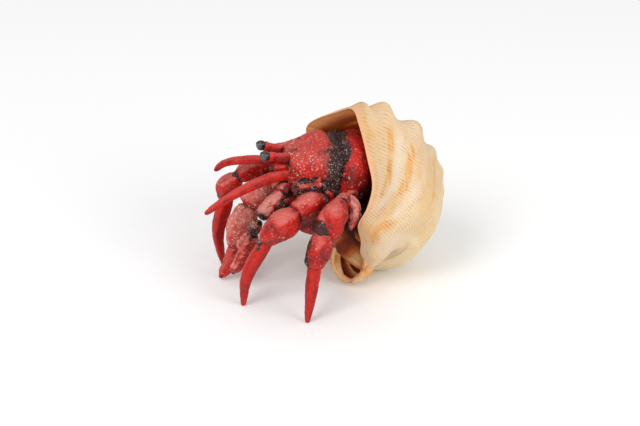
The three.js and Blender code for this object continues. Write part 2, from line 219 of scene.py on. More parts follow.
# Cross-section of the whorl as (distance from the axis, distance below the apex), from the suture over the
# shoulder and down the outer side to the base, then up the columella. A place is a position along this list.
SECTION = np.array([
    [9, 8.5], [14, 10.5], [22, 13.5], [31, 18.5], [32.5, 24], [32.5, 30.5], [30.5, 36.5], [25.5, 41],
    [20, 43], [16, 43.5], [13, 43.5], [10.5, 43], [8, 42], [5.5, 40], [3, 35], [2.5, 26], [4.5, 16]])
SIDES = len(SECTION)

# The flared edge of the opening, point for point with SECTION: far corner, crest, near edge, notch,
# the foot above the spout, and the inner lip.
LIP = np.array([
    [-15, 2, 39.5], [-14, 1.6, 44.4], [-8, 6.4, 50], [-0.6, 10.3, 54.4], [6.1, 10.4, 51.8], [13.2, 10.4, 44],
    [17.5, 10.4, 37], [20, 7.8, 31], [20.5, 4.8, 26], [19.5, 6.2, 19.5], [17.6, 6.8, 14.5], [15.5, 8.4, 9.8],
    [12, 8.6, 6], [6.4, 3.4, 10.4], [2.4, 1.2, 15.2], [-3, 1.2, 20], [-11, 1, 31]])

# Washes of paint on the last whorl: turn angle at place 5, its gain for each place down, half width, first
# and last place, strength. Angles are in degrees.
TAN_WASHES = (
    (-11.8, 4.1, 1.5, 3.9, 6.5, 1), (-23, 5.9, 2.3, 4.2, 6.3, 1), (-46, 5, 2.5, 3.6, 6, 0.5),
    (-64, 4, 2.5, 3.4, 5.6, 0.45), (-30, 4, 5, 7.2, 9, 0.7), (-3, 0.5, 1.2, 2.6, 8, 0.5))
PALE_WASHES = (
    (-20, 0, 28, 2, 4.2, 0.5), (-16.2, 4.9, 2.4, 3.8, 7, 1), (-28, 4.2, 3.2, 5.4, 7.4, 0.9),
    (-56, 5.6, 7, 7.6, 10, 0.8), (-34, 5, 3, 3.6, 5.6, 0.7))

# The turn angle is 0 at the lip and negative behind it. The ring goes from 0 to 1 round the section.


def bell_at(turn, centre, width):
    """A bell over the turn angle, its centre and width in degrees."""
    return bell(np.degrees(turn), centre, width)


def behind(turn, low, high):
    """A smooth step from 0 to 1 between two angles behind the lip, in degrees."""
    return ease(-np.degrees(turn), low, high)


def whorl_scale(turn):
    """Size of the whorl: a steady spiral with a bulge below, a dip at the back and a crest behind the lip."""
    shape = 0.175 * bell_at(turn, -190, 65) - 0.08 * bell_at(turn, -85, 38) + 0.14 * bell_at(turn, -22, 23)
    return GROWTH ** (turn / TURN) * (1 + shape)


def crests(turn, ring):
    """1 on each knob's rib and 0 in the valleys: a raised cosine, with one more rib behind the lip. Below the
    knobs the ribs slant towards the lip. They are bold near the lip, low on the side of the last whorl and
    plain again on the whorls above."""
    turn = turn - RIB_SLANT * np.maximum(ring - 4.4 / SIDES, 0)
    bold = 0.22 + 0.78 * behind(turn, 74, 12) + 0.4 * behind(turn, 190, 260)
    wave = (0.5 + 0.5 * np.cos(KNOBS * turn - KNOB_PHASE)) ** 1.4
    return bold * wave + 0.7 * bell_at(turn, RIM_KNOB, 3.2)


def radial(turn):
    return UP * np.cos(turn)[..., None] - SIDE * np.sin(turn)[..., None]


def whorl_point(turn, ring):
    """The section swung round the axis by the turn angle and scaled by the spiral."""
    section = closed_curve(SECTION, ring) * whorl_scale(turn)[..., None]
    return APEX + radial(turn) * section[..., :1] - AXIS * section[..., 1:]


def flare_share(turn, ring):
    """0 on the plain whorl and 1 at the lip, starting further back at the base than at the shoulder."""
    span = LIP_SPAN + BASE_SPAN * bell(ring * SIDES, 9.2, 3.4)
    return ease(turn / span, -1, 0)


def base_fill(turn, ring):
    """1 in the middle of the hollow at the base, where the collar meets the last whorl, 0 away from it."""
    return bell_at(turn, -64, 34) * bell(ring * SIDES, 10.9, 1.8)


def shell_rows(turn, ring, sizes):
    """The outer skin: whorl points, raised on knobs and ribs, moved towards the lip's edge by the flare and
    out by the swell of the last whorl."""
    place = ring * SIDES
    relief = (sizes.knob_height * bell(place, 3.1, 0.68) + sizes.rib_height * bell(place, 5.5, 1.7)) / MM
    rise = relief * crests(turn, ring) * whorl_scale(turn) * np.minimum(1, -turn / RIM_SPAN)
    flare = closed_curve(LIP, ring) - whorl_point(np.zeros_like(turn), ring)
    swell = SWELL * bell_at(turn, -92, 40) * bell(place, 8.8, 3.4) + BASE_FILL * base_fill(turn, ring)
    return (whorl_point(turn, ring) + radial(turn) * (0.85 * rise)[..., None]
            + AXIS * (0.5 * rise)[..., None] + flare * flare_share(turn, ring)[..., None]
            + SWELL_TOWARDS * swell[..., None])


def wall_rows(turn, ring, sizes):
    """The skin moved in along its normals by the wall, thin at the lip and thicker on the opening's inner
    side, and the height of the folds in it, from -1 to 1."""
    rows = shell_rows(turn, ring, sizes)
    thin = 0.45 + 0.55 * behind(turn, 0, 20)
    depth = sizes.wall / MM * thin + PARIETAL_WALL * bell(ring * SIDES, 15.6, 1.7)
    folds = lumps(np.stack(np.broadcast_arrays(turn * 16, ring * 26, 0 * turn), axis=-1), 1, 14)
    folds = folds * behind(turn, 0, 12)
    raised = WAVE_HEIGHT * lumps(rows, WAVE_SIZE, 13) + FOLD_HEIGHT * folds
    return rows + normals_of(rows) * (raised - depth)[..., None], folds


def ring_places(count, start, end, share):
    """Places round the section, that share of them between start and end and the rest on the hidden side."""
    dense = int(count * share)
    return np.concatenate([np.linspace(start, end, dense, endpoint=False),
                           np.linspace(end, 1 + start, count - dense, endpoint=False)])


def arc_share(ring):
    """How far round the section a place is, by length, from 0 to 1."""
    fine = np.linspace(0, 1, 2001)
    steps = np.linalg.norm(np.diff(closed_curve(SECTION, fine), axis=0), axis=1)
    lengths = np.concatenate([[0], np.cumsum(steps)])
    return np.interp(np.mod(ring, 1), fine, lengths / lengths[-1])


def cord_places(turn, ring, rows, sizes):
    """Count of cords from the start of the section: even by length, a little wavy, with a slant."""
    slant = CORD_SLANT * np.maximum(turn, -1.2)
    return sizes.cords * arc_share(ring) + slant + 0.25 * np.sin(9 * turn) + 0.3 * lumps(rows, 9, 11)


def cord_relief(turn, ring, rows, sizes):
    """Fine relief in millimetres: spiral cords with narrow grooves, growth lines across them, broad waves."""
    place = ring * SIDES
    cord = np.abs(np.cos(math.pi * cord_places(turn, ring, rows, sizes))) ** 0.5 - 0.75
    growth = lumps(np.stack(np.broadcast_arrays(turn * 60, ring * 4, 0 * turn), axis=-1), 1, 12)
    outside = ease(place, 0.3, 1.5) * (1 - ease(place, 12.5, 13.5))
    covered = behind(turn, 125, 140) * ease(place, 9.5, 10.5)
    plain = outside * (1 - covered) * (1 - 0.8 * base_fill(turn, ring))
    return sizes.cord_height / MM * (cord + 0.45 * growth) * plain + WAVE_HEIGHT * lumps(rows, WAVE_SIZE, 13)


def washes(turn, ring, table):
    """Where a table of slanting streaks covers the skin, from 0 to 1."""
    place = ring * SIDES
    cover = 0
    for start, gain, half, first, last, strength in table:
        streak = bell(np.degrees(turn), start + gain * (place - 5), half)
        ends = ease(place, first - 0.3, first + 0.4) * (1 - ease(place, last - 0.4, last + 0.3))
        cover = np.maximum(cover, strength * streak * ends)
    return cover


def skin_paints(turn, ring, skin, sizes, hollow):
    """The numbers that the outer skin carries: cord count, turns behind the lip, tan and pale washes, ring,
    how far inside the opening it is, how much painted shade it takes, and how near the lip's edge. The skin
    that the opening covers, on its inner side, is painted as the inside, with painted shade deep in the
    opening."""
    place = ring * SIDES
    inner_lip = 1 - ease(place, 15.5, 16.5)
    covered = behind(turn, 125, 140) * ease(place, 9.8, 10.6) * hollow
    # The skin seen past the end of the inner wall, which takes painted shade.
    deep = behind(turn, 58, 66) * ease(place, 12.9, 13.3) * hollow
    return {
        "cord": cord_places(turn, ring, skin, sizes),
        "turn": turn / TURN,
        "tan": washes(turn, ring, TAN_WASHES),
        "pale": np.maximum(washes(turn, ring, PALE_WASHES), 0.9 * base_fill(turn, ring)),
        "ring": ring,
        "inside": 0.5 * covered * inner_lip,
        # Painted shade on the covered skin deep in the opening and on the skin seen past the inner wall.
        "shade": np.maximum(covered * ease(place, 11, 12.2), deep) * inner_lip,
        "edge": hollow * bell_at(turn, 0, 2.2),
    }


def add_opening(skin, paints, ring, sizes):
    """The skin's rows followed by a round rim and by the inner wall, which runs back behind the lip. Their
    paints join the skin's: orange inside, darkening to brown further in as painted shade, with a cup above
    the spout dark brown in its middle and painted shade near black at the end."""
    back = np.linspace(0, -HOLLOW_SPAN, 20)[:, None]
    wall, folds = wall_rows(*np.broadcast_arrays(back, ring), sizes)
    bend = np.linspace(0, math.pi, 7)[1:-1, None]
    middle, half = (skin[-1] + wall[0]) / 2, (skin[-1] - wall[0]) / 2
    out = MOUTH_FACING * np.minimum(np.linalg.norm(half, axis=-1), 0.5)[:, None]
    rim = middle + half * np.cos(bend)[..., None] + out * np.sin(bend)[..., None]
    rims, walls = len(rim), len(wall)
    for paint in paints:
        paints[paint] = np.concatenate([paints[paint], np.repeat(paints[paint][-1:], rims + walls, axis=0)])
    place = ring * SIDES
    # The cup above the spout: golden at its sides and dark brown in its middle, a painted shade.
    cup = bell_at(back, -24, 13) * bell(place, 13, 1.1)
    in_cup = 0.28 + 0.7 * bell(place, 13.05, 0.26)
    # Painted shade: the inside darkens the further back the wall runs.
    deep = 0.3 + 0.7 * np.linspace(0, 1, walls)[:, None] ** 0.75
    paints["inside"][-rims - walls:-walls] = np.linspace(0, 0.25, rims)[:, None]
    paints["inside"][-walls:] = deep * (1 - cup) + in_cup * cup - 0.22 * folds
    # Painted shade, near black at the far end of the opening and in a patch behind the lip.
    paints["shade"][-walls:] = (behind(back, 28, 46) * bell(place, 14, 2)
                                + 0.55 * bell_at(back, -12, 12) * bell(place, 13.2, 0.8))
    paints["edge"][-rims - walls:-walls] = 1
    paints["edge"][-walls:] = 0.8 * (1 - behind(back, 0, 14))
    return np.concatenate([skin, rim, wall])


def build_shell_length(name, from_turn, to_turn, counts, dense, sizes, nodes, hollow):
    """One length of the shell. The outer skin runs from one turn angle to the other; with hollow, the rim and
    the inner wall follow. Both ends are closed by a flat cap."""
    along, around = counts
    ring = ring_places(around, *dense)[None, :]
    if hollow:
        far = np.linspace(from_turn + CAP_STEP, -FINE_SPAN, along // 2, endpoint=False)
        near = np.linspace(-FINE_SPAN, to_turn, along - along // 2)
        turn = np.concatenate([[from_turn], far, near])[:, None]
        fade = np.minimum(1, -turn / math.radians(3))
    else:
        turn = np.append(np.linspace(from_turn, to_turn - CAP_STEP, along), to_turn)[:, None]
        fade = 1
    turns, rings = np.broadcast_arrays(turn, ring)
    skin = shell_rows(turns, rings, sizes)
    relief = cord_relief(turns, rings, skin, sizes) * np.minimum(1.2, 2 * whorl_scale(turns)) * fade
    skin = skin + normals_of(skin) * relief[..., None]
    paints = skin_paints(turns, rings, skin, sizes, hollow)
    whole = add_opening(skin, paints, ring, sizes) if hollow else skin
    caps = [np.repeat(row.mean(0)[None, None], around, axis=1) for row in (whole[0], whole[-1])]
    paints = {paint: np.concatenate([values[:1], values, values[-1:]]) for paint, values in paints.items()}
    make_piece(name, np.concatenate([caps[0], whole, caps[1]]), paints, shell_plastic(), nodes)


# ---- limbs -----------------------------------------------------------------------------------
class Style(NamedTuple):
    """How one kind of limb is moulded, in shares of its thickness, and how it is painted."""
    paint: str
    swell: float  # broad lumps
    ridge: float  # height of the ridges along it
    ridges: int
    crease: float
    collar: float  # raised ring before the joint
    grain_size: float  # mm
    grain_height: float  # mm
    grain_fill: float  # share of the places that have a grain
    neck: float = 0.16  # share of the length that each dark end takes
    far_end: float = 1.0  # how dark the far end is
    grime: float = 0.0  # dark blotches


STYLES = {
    "shield": Style("shield", 0.035, 0, 4, 0.012, 0, 0.62, 0.2, 0.9, 0.04, 0),
    "band": Style("plate", 0.03, 0, 4, 0.02, 0, 0.6, 0.3, 0.9, 0.05, 0),
    "plate": Style("plate", 0.05, 0, 4, 0.015, 0, 0.7, 0.24, 0.6, 0.05, 0),
    "stalk": Style("feeler", 0.1, 0.03, 3, 0.05, 0.1, 1, 0.05, 0.3, 0.1, 0),
    "feeler": Style("feeler", 0.06, 0.03, 3, 0.02, 0, 1, 0, 0, 0.03, 0.3),
    "small_feeler": Style("dactyl", 0.06, 0.03, 3, 0.02, 0, 1, 0, 0, 0.03, 0.3),
    "under": Style("under", 0.1, 0.03, 6, 0.04, 0, 1.2, 0.2, 0.5, grime=0.5),
    "arch": Style("small_claw", 0.08, 0.06, 4, 0.04, 0, 0.8, 0.1, 0.5, 0.1, 1, 0.3),
    "hip": Style("hip", 0.16, 0.04, 4, 0.06, 0, 0.7, 0.16, 0.8, 0.3, 1, 1.1),
    **{paint: Style(paint, 0.08, 0.03, 5, 0.03, 0.04, 0.85, 0.26, 0.85, 0.12)
       for paint in ("claw_tip", "palm", "wrist")},
    "small_claw": Style("small_claw", 0.12, 0.04, 5, 0.07, 0.1, 0.9, 0.12, 0.5, 0.16),
    "limb": Style("limb", 0.075, 0.03, 5, 0.035, 0.04, 0.75, 0.12, 0.6, 0.1),
    "dactyl": Style("dactyl", 0.04, 0.04, 4, 0.02, 0, 1.3, 0, 0, 0.02, 0.2),
    "fourth_leg": Style("limb", 0.05, 0.02, 4, 0.02, 0, 1, 0.06, 0.4, 0.05, 0),
}


def limb_rows(points, halves, flat=0.9, blunt=4.0, square=2.4, around=72, along=72):
    """A rounded limb: a superellipse carried along a smooth path and closed by blunt domes. Halves are half
    thicknesses at even steps, and flat is the width across X as a share of the thickness."""
    v = np.linspace(0, 1, along)
    t = (1 - np.cos(math.pi * v)) / 2
    dome = np.maximum(0, 1 - np.abs(2 * t - 1) ** blunt) ** (1 / blunt)
    centre = through(points, t)
    tangent = unit(through(points, np.minimum(t + 1e-3, 1)) - through(points, np.maximum(t - 1e-3, 0)))
    high = unit(np.cross(tangent, [1, 0, 0]))
    wide = np.cross(high, tangent)
    girths = through(np.column_stack([np.arange(len(halves)), halves, np.zeros(len(halves))]), t)[:, 1]
    half = (girths * dome)[:, None, None]
    angle = TURN * np.arange(around) / around
    c, s = (np.sign(f) * np.abs(f) ** (2 / square) for f in (np.cos(angle), np.sin(angle)))
    rows = (centre[:, None] + half * c[None, :, None] * high[:, None]
            + half * flat * s[None, :, None] * wide[:, None])
    return rows, t[:, None] * np.ones(around), angle[None, :] * np.ones((along, 1))


def sculpt(name, points, halves, style, slot, seed, **form):
    """A limb piece with its relief: lumps of two sizes, ridges along it, creases where a third random height
    crosses zero, a collar before the joint and grains where the style has them. Each spot adds a local
    swelling and black paint."""
    style = STYLES[style]
    rows, along, angle = limb_rows(points, halves, **form)
    normals = normals_of(rows)
    size = max(halves)
    ends = 1 - ease(along, 0, style.neck) + ease(along, 1 - style.neck, 1) * style.far_end
    middle = 1 - np.clip(ends, 0, 1)
    broad = lumps(rows, 0.9 * size + 0.6, seed)
    small = lumps(rows, 0.4 * size + 0.3, seed + 1)
    crease = np.clip(1 - np.abs(lumps(rows, 0.75 * size + 0.6, seed + 2)) / 0.14, 0, 1)
    ridge = np.cos(style.ridges * angle + seed) * style.ridge
    collar = style.collar * bell(along, 1 - 1.5 * style.neck, 0.6 * style.neck)
    shape = (style.swell * (broad + 0.5 * small) + ridge) * (0.3 + 0.7 * middle)
    shape = shape + collar - style.crease * crease
    knobs = grains(rows, style.grain_size, seed + 31, style.grain_fill)
    patchy = ease(lumps(rows, 1.3 * size, seed + 7), -0.6, 0.25)
    relief = size * shape + knobs * patchy * style.grain_height + 0.06 * lumps(rows, 0.6, seed + 9)
    # Dark paint: black at the joint ends, and painted shade in the creases.
    dark = ends * ease(lumps(rows, 1.5, seed + 5), -0.7, 0.5) + 0.25 * crease
    for place, degrees, half_along, half_angle, height, black in SPOTS.get(name, ()):
        apart = np.abs(np.mod(np.degrees(angle) - degrees + 180, 360) - 180)
        near = bell(along, place, half_along) * bell(apart, 0, half_angle)
        relief = relief + height * near
        dark = dark + black * near
    rows = rows + normals * relief[..., None]
    # The ridge and top layers steer the painted shade in hollows and underneath and the painted highlight on
    # the upper sides.
    paints = {
        "dark": np.clip(dark + style.grime * ease(lumps(rows, 1.3, seed + 11), -0.6, 0.3), 0, 1.3),
        "grain": knobs * patchy,
        "ridge": ease(shape, -1.2 * style.swell - 0.02, 1.2 * style.swell + 0.02),
        "top": np.clip(normals_of(rows)[..., 2] * 0.5 + 0.5, 0, 1),
    }
    make_piece(f"{name}_moulding", rows, paints, crab_plastic(style.paint), NODES.get(name, [name]))


# ---- the crab's places -----------------------------------------------------------------------
# Each leg: hip, three knees and the tip, the four girths and how far each length bows.
LEGS = {
    "leg_front_l": (
        [[4, 1, 29], [11.6, -3.4, 32], [15, -13.6, 30], [15.4, -24.2, 23.2], [12.2, -29.6, -0.6]],
        [3.3, 4.1, 4.3, 2.45], [[0, 0, 1], [0.6, -0.6, 0.4], [1.6, 0.2, 1.6], [0.2, -1.5, 0]]),
    "leg_rear_l": (
        [[8, 5.5, 26], [18, 0.4, 32.8], [23.8, -8.2, 28.6], [27, -12, 17.4], [27.9, -14.3, -0.6]],
        [2.8, 4.1, 3.6, 2.2], [[0, 2, 2.4], [0.6, 0.4, 0.6], [0.4, 0.6, 0], [0.4, 0, 0]]),
    "leg_front_r": (
        [[-4, 1, 30], [-10.8, -8.6, 33], [-11.6, -23.4, 31.2], [-13, -27.4, 22], [-11.9, -28.4, -0.6]],
        [3.2, 3.3, 3.2, 2.6], [[-0.6, 0, 1], [-0.6, 0, 1.4], [-0.4, -0.8, 0.8], [-0.6, -1.6, 1]]),
    "leg_rear_r": (
        [[-5, -1, 27], [-17, -2, 32.6], [-23.4, -9, 28.6], [-27, -12, 17.4], [-27.9, -14.3, -0.6]],
        [2.8, 4, 3.6, 2.2], [[0, 0, 2.4], [-0.6, 0.4, 0.6], [-0.4, 0.6, 0], [-0.4, 0, 0]]),
}
LENGTHS = ("merus", "carpus", "propodus", "dactyl")
# Girth at the start, middle and end of each length, as shares of its own, and lengths that run another way.
LENGTH_SHARES = {"merus": (0.74, 1, 0.8), "carpus": (0.78, 1, 0.8), "propodus": (0.9, 1.03, 0.6),
                 "dactyl": (0.98, 0.86, 0.6, 0.3)}
OWN_SHARES = {"leg_rear_l_propodus": (0.7, 1.02, 0.72), "leg_rear_l_merus": (0.74, 0.92, 0.7)}
# How far a length starts inside the one before, in millimetres.
OVERLAP = {"merus": 0.3, "carpus": 0.4, "propodus": 1.2, "dactyl": 3.4}
KNEE_REACH = 1.3  # mm, the dark fold of a knee to either side of the joint
# How thick the dark fold of each knee is, as a share of the thinner length beside it.
KNEE_SHARES = {"leg_front_l": (0.7, 0.74, 0.5), "leg_rear_l": (0.66, 0.84, 0.5),
               "leg_front_r": (0.6, 0.6, 0.45), "leg_rear_r": (0.62, 0.62, 0.45)}

# Every other limb: its path and its halves.
FOURTH_LEGS = {
    "leg_fourth_l": ([[18, -0.5, 29], [23.4, -3.9, 33], [24.4, -4.6, 28.3], [22.8, -5.2, 21.2]],
                     [2.4, 3.3, 2.7, 0.5]),
    "leg_fourth_r": ([[-7, 2, 23], [-12.6, -1.2, 25.2], [-14.2, -3, 22.4], [-14, -4, 17.4]],
                     [2.2, 2.2, 1.7, 0.8]),
}
# The last small leg's thick upper length, bent over behind the rear walking leg.
ARCH = ([[15.5, -1, 30.5], [15.2, 2, 33], [16.8, 4.4, 31.4], [18.8, 4.2, 28], [20, 2, 24.6]],
        [1.2, 1.7, 1.8, 1.7, 1.0])
# The big claw, each piece also with its style.
BIG_CLAW = {
    "claw_large_finger": ([[-3.2, -25.4, 11.6], [-3.3, -28.4, 6], [-4, -32, 0.6]], [3.4, 2.5, 1], "claw_tip"),
    "claw_large_thumb": ([[-0.6, -24.6, 12], [0.3, -27, 8], [-1, -29.8, 4.2]], [1.7, 1.6, 0.7], "claw_tip"),
    "claw_large_palm": ([[-4.5, -22, 25], [-3.6, -24.6, 17.6], [-3.2, -26.2, 10.4]], [3.4, 4.6, 3.6], "palm"),
    "claw_large_carpus": ([[-5, -14, 28.4], [-4.8, -18.6, 27.6], [-4.4, -22.2, 24.4]], [3.2, 4.4, 3.6],
                          "wrist"),
    "claw_large_merus": ([[-4.6, -8, 28], [-5, -11, 29], [-5, -14.6, 28.6]], [3, 3.2, 2.8], "wrist"),
}
SMALL_CLAW = {
    "claw_small_finger": ([[5.2, -25.8, 15], [4.4, -28, 10], [3, -30, 5.8]], [2.6, 1.9, 0.7]),
    "claw_small_palm": ([[7, -24.4, 21.4], [6, -25.4, 17.4], [5.2, -26, 14.4]], [2.2, 3, 2.5]),
    "claw_small_carpus": ([[9, -22.6, 26.4], [8, -23.8, 23.8], [7, -24.4, 21.6]], [1.5, 2.0, 1.8]),
    "claw_small_merus": ([[6.2, -13.4, 34], [7.6, -18.2, 31.4], [9, -22.4, 27.4]], [1.7, 1.9, 2.1]),
}
FEELERS = {
    "antenna_l": ([[4, -10, 38], [5.6, -17.5, 38.7], [8, -26, 38], [10.6, -34, 36.6], [13.2, -40.6, 34.8]],
                  [1.9, 1.6, 1.4, 1.2, 1.0]),
    "antenna_r": ([[-3, -10, 38.6], [-4.6, -17, 39.6], [-7.4, -23.2, 39.2], [-10, -27.6, 37.6],
                   [-11.8, -30.2, 34.6]], [1.6, 1.4, 1.25, 1.1, 0.85]),
}
# Lumps of hip between the head and the legs, on the side of the walking legs.
HIPS = {
    "hip_front": ([[4.6, -11.6, 33], [6, -13.8, 33.8], [7, -15.4, 33]], [2.2, 2.6, 1.6]),
    "hip_middle": ([[8.6, -6, 36], [10.4, -9.6, 36.6], [9.6, -12.4, 35.4]], [2, 2.4, 1.8]),
    "hip_rear": ([[9, -1.6, 35.4], [10.6, -4.6, 36], [10.4, -7.6, 35.4]], [2.2, 2.8, 2]),
    "hip_low": ([[5, -10.6, 29], [7, -14.8, 30], [8.4, -17.6, 28.4]], [2.2, 2.8, 1.8]),
}
EYES = {"eye_l": [3.5, -18.6, 45.2], "eye_r": [-3.5, -17.6, 45.2]}

# Dark or raised places on single pieces: share of the way along, angle round in degrees, half width along and
# round, height in millimetres and blackness, which can also take black away.
SPOTS = {
    "shield": [(1.0, 150, 0.15, 400, -0.7, 0), (1.05, 150, 0.12, 400, 0, 1.3), (0.95, 105, 0.3, 60, 0, 1.35),
               (0.16, 165, 0.07, 9, 0.7, 0.5), (0.4, 200, 0.04, 7, 0.5, 0.8),
               (0.62, 196, 0.16, 18, 0.6, -0.3), (0.3, 118, 0.12, 16, 0.5, -0.3)],
    "band": [(0.5, 150, 2, 400, 0, 1.3)],
    "plate": [(0.08, 150, 0.32, 400, -0.8, 0), (0.05, 150, 0.22, 400, 0, 1.3),
              (0.38, 134, 0.16, 26, -0.2, 1.1), (0.6, 185, 0.3, 24, 0, 0.3), (0.55, 100, 0.2, 26, 1.9, -1.2),
              (0.8, 60, 0.2, 30, 0, 0.8)],
    "small_feeler": [(0.97, 90, 0.14, 400, 0.1, 1.4)],
    "arch": [(0.6, 330, 0.4, 40, -0.2, 0.9)],
    **dict.fromkeys(HIPS, [(0.2, 150, 0.4, 90, 0, 0.75)]),
    "leg_front_l_merus": [(0.5, 150, 0.5, 60, 0, 0.5)],
    "leg_front_l_carpus": [(0.97, 130, 0.08, 90, 0, 1.1), (0.1, 150, 0.16, 60, 0, 0.6)],
    "leg_front_l_propodus": [(0.02, 150, 0.06, 90, 0.3, 1.1)],
    "leg_front_l_dactyl": [(0.16, 32, 0.028, 20, 0.3, 1.3)],
    "leg_rear_l_merus": [(0.5, 180, 0.5, 40, 0.2, -0.3), (0.75, 60, 0.3, 50, -0.3, 0.8),
                         (0.5, 120, 0.4, 16, 0, 0.7)],
    "leg_rear_l_carpus": [(0.95, 200, 0.14, 60, 0, 1.0), (0.1, 120, 0.1, 90, -0.2, 0.7)],
    "leg_rear_l_propodus": [(0.5, 345, 0.4, 30, 0.2, 0.9), (0.84, 352, 0.13, 34, 0.6, 1.2),
                            (0.05, 90, 0.08, 60, 0, 1)],
    "claw_small_carpus": [(0.5, 150, 0.6, 400, 0, 0.72)],
    "claw_small_merus": [(0.95, 150, 0.1, 400, 0.2, 1.0)],
}

# The drawing's nodes that a limb piece takes the place of, where it isn't the one of its own name.
NODES = {"shield": ["carapace_front"], "plate": ["carapace_rear"],
         **dict.fromkeys(("band", "small_feeler", "arch", *HIPS), ())}


def leg_length(leg, i):
    """Path and halves of one length of a leg, swollen in the middle, bowed sideways and started a little way
    inside the length before it."""
    joints, girths, bows = LEGS[leg]
    start, end = np.array(joints[i], float), np.array(joints[i + 1], float)
    before = np.array(joints[max(i - 1, 0)], float)
    share = OWN_SHARES.get(f"{leg}_{LENGTHS[i]}", LENGTH_SHARES[LENGTHS[i]])
    first = start + OVERLAP[LENGTHS[i]] * unit(before - start) if i else start
    return [first, (start + end) / 2 + bows[i], end], [part * girths[i] for part in share]


# ---- shader wiring ---------------------------------------------------------------------------
class Wiring:
    """Adds nodes to one shader tree. An input is a value or another node's output."""

    def __init__(self, tree):
        self.tree = tree

    def node(self, kind, inputs, **settings):
        """The outputs of a new node with those settings and inputs."""
        node = self.tree.nodes.new(kind)
        for key, value in settings.items():
            setattr(node, key, value)
        for key, value in inputs.items():
            if isinstance(value, bpy.types.NodeSocket):
                self.tree.links.new(value, node.inputs[key])
            else:
                node.inputs[key].default_value = value
        return node.outputs

    def math(self, operation, first, second=0.0):
        return self.node("ShaderNodeMath", {0: first, 1: second}, operation=operation)[0]

    def times(self, first, *others):
        for other in others:
            first = self.math("MULTIPLY", first, other)
        return first

    def plus(self, first, *others):
        for other in others:
            first = self.math("ADD", first, other)
        return first

    def place(self, x, y):
        return self.node("ShaderNodeCombineXYZ", {0: x, 1: y})[0]

    def layer(self, name):
        """The number that a piece carries at each point under that name."""
        return self.node("ShaderNodeAttribute", {}, attribute_name=name)["Fac"]

    def noise(self, vector, scale, detail=3.0):
        return self.node("ShaderNodeTexNoise", {"Vector": vector, "Scale": scale, "Detail": detail})[0]

    def rise(self, value, low, high, to_low=0.0, to_high=1.0):
        """The value turned into a smooth step between low and high."""
        inputs = {"Value": value, "From Min": low, "From Max": high, "To Min": to_low, "To Max": to_high}
        return self.node("ShaderNodeMapRange", inputs, interpolation_type="SMOOTHSTEP")[0]

    def mixed(self, share, under, over):
        """One colour covered by that share of another."""
        under, over = (c if isinstance(c, bpy.types.NodeSocket) else (*c, 1.0) for c in (under, over))
        return self.node("ShaderNodeMix", {0: share, 6: under, 7: over}, data_type="RGBA")[2]

    def group(self, group, **inputs):
        return self.node("ShaderNodeGroup", inputs, node_tree=group)


def new_group(name, inputs, outputs, wire):
    """A shader node group with a Vector input, the other inputs with their values, and outputs, made once."""
    group = bpy.data.node_groups.get(name)
    if group:
        return group
    group = bpy.data.node_groups.new(name, "ShaderNodeTree")
    group.interface.new_socket(name="Vector", in_out="INPUT", socket_type="NodeSocketVector")
    for label, value in inputs.items():
        socket = group.interface.new_socket(name=label, in_out="INPUT", socket_type="NodeSocketFloat")
        socket.default_value = value
    for label in outputs:
        group.interface.new_socket(name=label, in_out="OUTPUT", socket_type="NodeSocketFloat")
    source = group.nodes.new("NodeGroupInput").outputs
    target = group.nodes.new("NodeGroupOutput").inputs
    for label, value in wire(Wiring(group), source).items():
        group.links.new(value, target[label])
    return group


def mottling():
    """Uneven paint: broad clouds, fine clouds and small specks over a surface."""
    def wire(w, source):
        vector, scale = source["Vector"], source["Scale"]
        return {"Broad": w.rise(w.noise(vector, scale), 0.38, 0.62),
                "Fine": w.rise(w.noise(vector, w.times(scale, 4.3)), 0.35, 0.65),
                "Specks": w.rise(w.noise(vector, w.times(scale, 11.0), 1.0), 0.6, 0.72)}
    return new_group("mottling", {"Scale": 200.0}, ["Broad", "Fine", "Specks"], wire)


def dry_brush():
    """Paint dragged over the high spots: where the height passes the threshold, broken up by streaks."""
    def wire(w, source):
        height = w.plus(source["Height"], w.times(w.noise(source["Vector"], source["Streaks"], 4.0), 0.7))
        low, high = (w.plus(source["Threshold"], step) for step in (0.22, 0.82))
        return {"Mask": w.times(w.rise(height, low, high), source["Cover"])}
    inputs = {"Height": 0.0, "Threshold": 0.4, "Cover": 0.6, "Streaks": 900.0}
    return new_group("dry brush", inputs, ["Mask"], wire)


def moulded_grain():
    """The faint unevenness of moulded vinyl: a height for a bump and a share for the roughness."""
    def wire(w, source):
        vector = source["Vector"]
        return {"Height": w.plus(w.noise(vector, 700.0, 2.0), w.times(w.noise(vector, 3200.0, 2.0), 0.35)),
                "Share": w.rise(w.noise(vector, 420.0), 0.3, 0.7)}
    return new_group("moulded grain", {}, ["Height", "Share"], wire)


# ---- paints ----------------------------------------------------------------------------------
def painted_material(name, paint):
    """A Principled material whose colour, roughness and relief come from paint(wiring, coordinates)."""
    material = bpy.data.materials.get(name)
    if material:
        return material
    material = bpy.data.materials.new(name)
    material.use_nodes = True
    tree = material.node_tree
    shader = tree.nodes["Principled BSDF"]
    w = Wiring(tree)
    look = paint(w, tree.nodes.new("ShaderNodeTexCoord").outputs["Object"])
    relief = {"Height": look["height"], "Strength": 0.5, "Distance": look["relief"] * MM}
    bump = w.node("ShaderNodeBump", relief)
    tree.links.new(look["colour"], shader.inputs["Base Color"])
    tree.links.new(look["roughness"], shader.inputs["Roughness"])
    tree.links.new(bump["Normal"], shader.inputs["Normal"])
    shader.inputs["Specular IOR Level"].default_value = look["shine"]
    return material


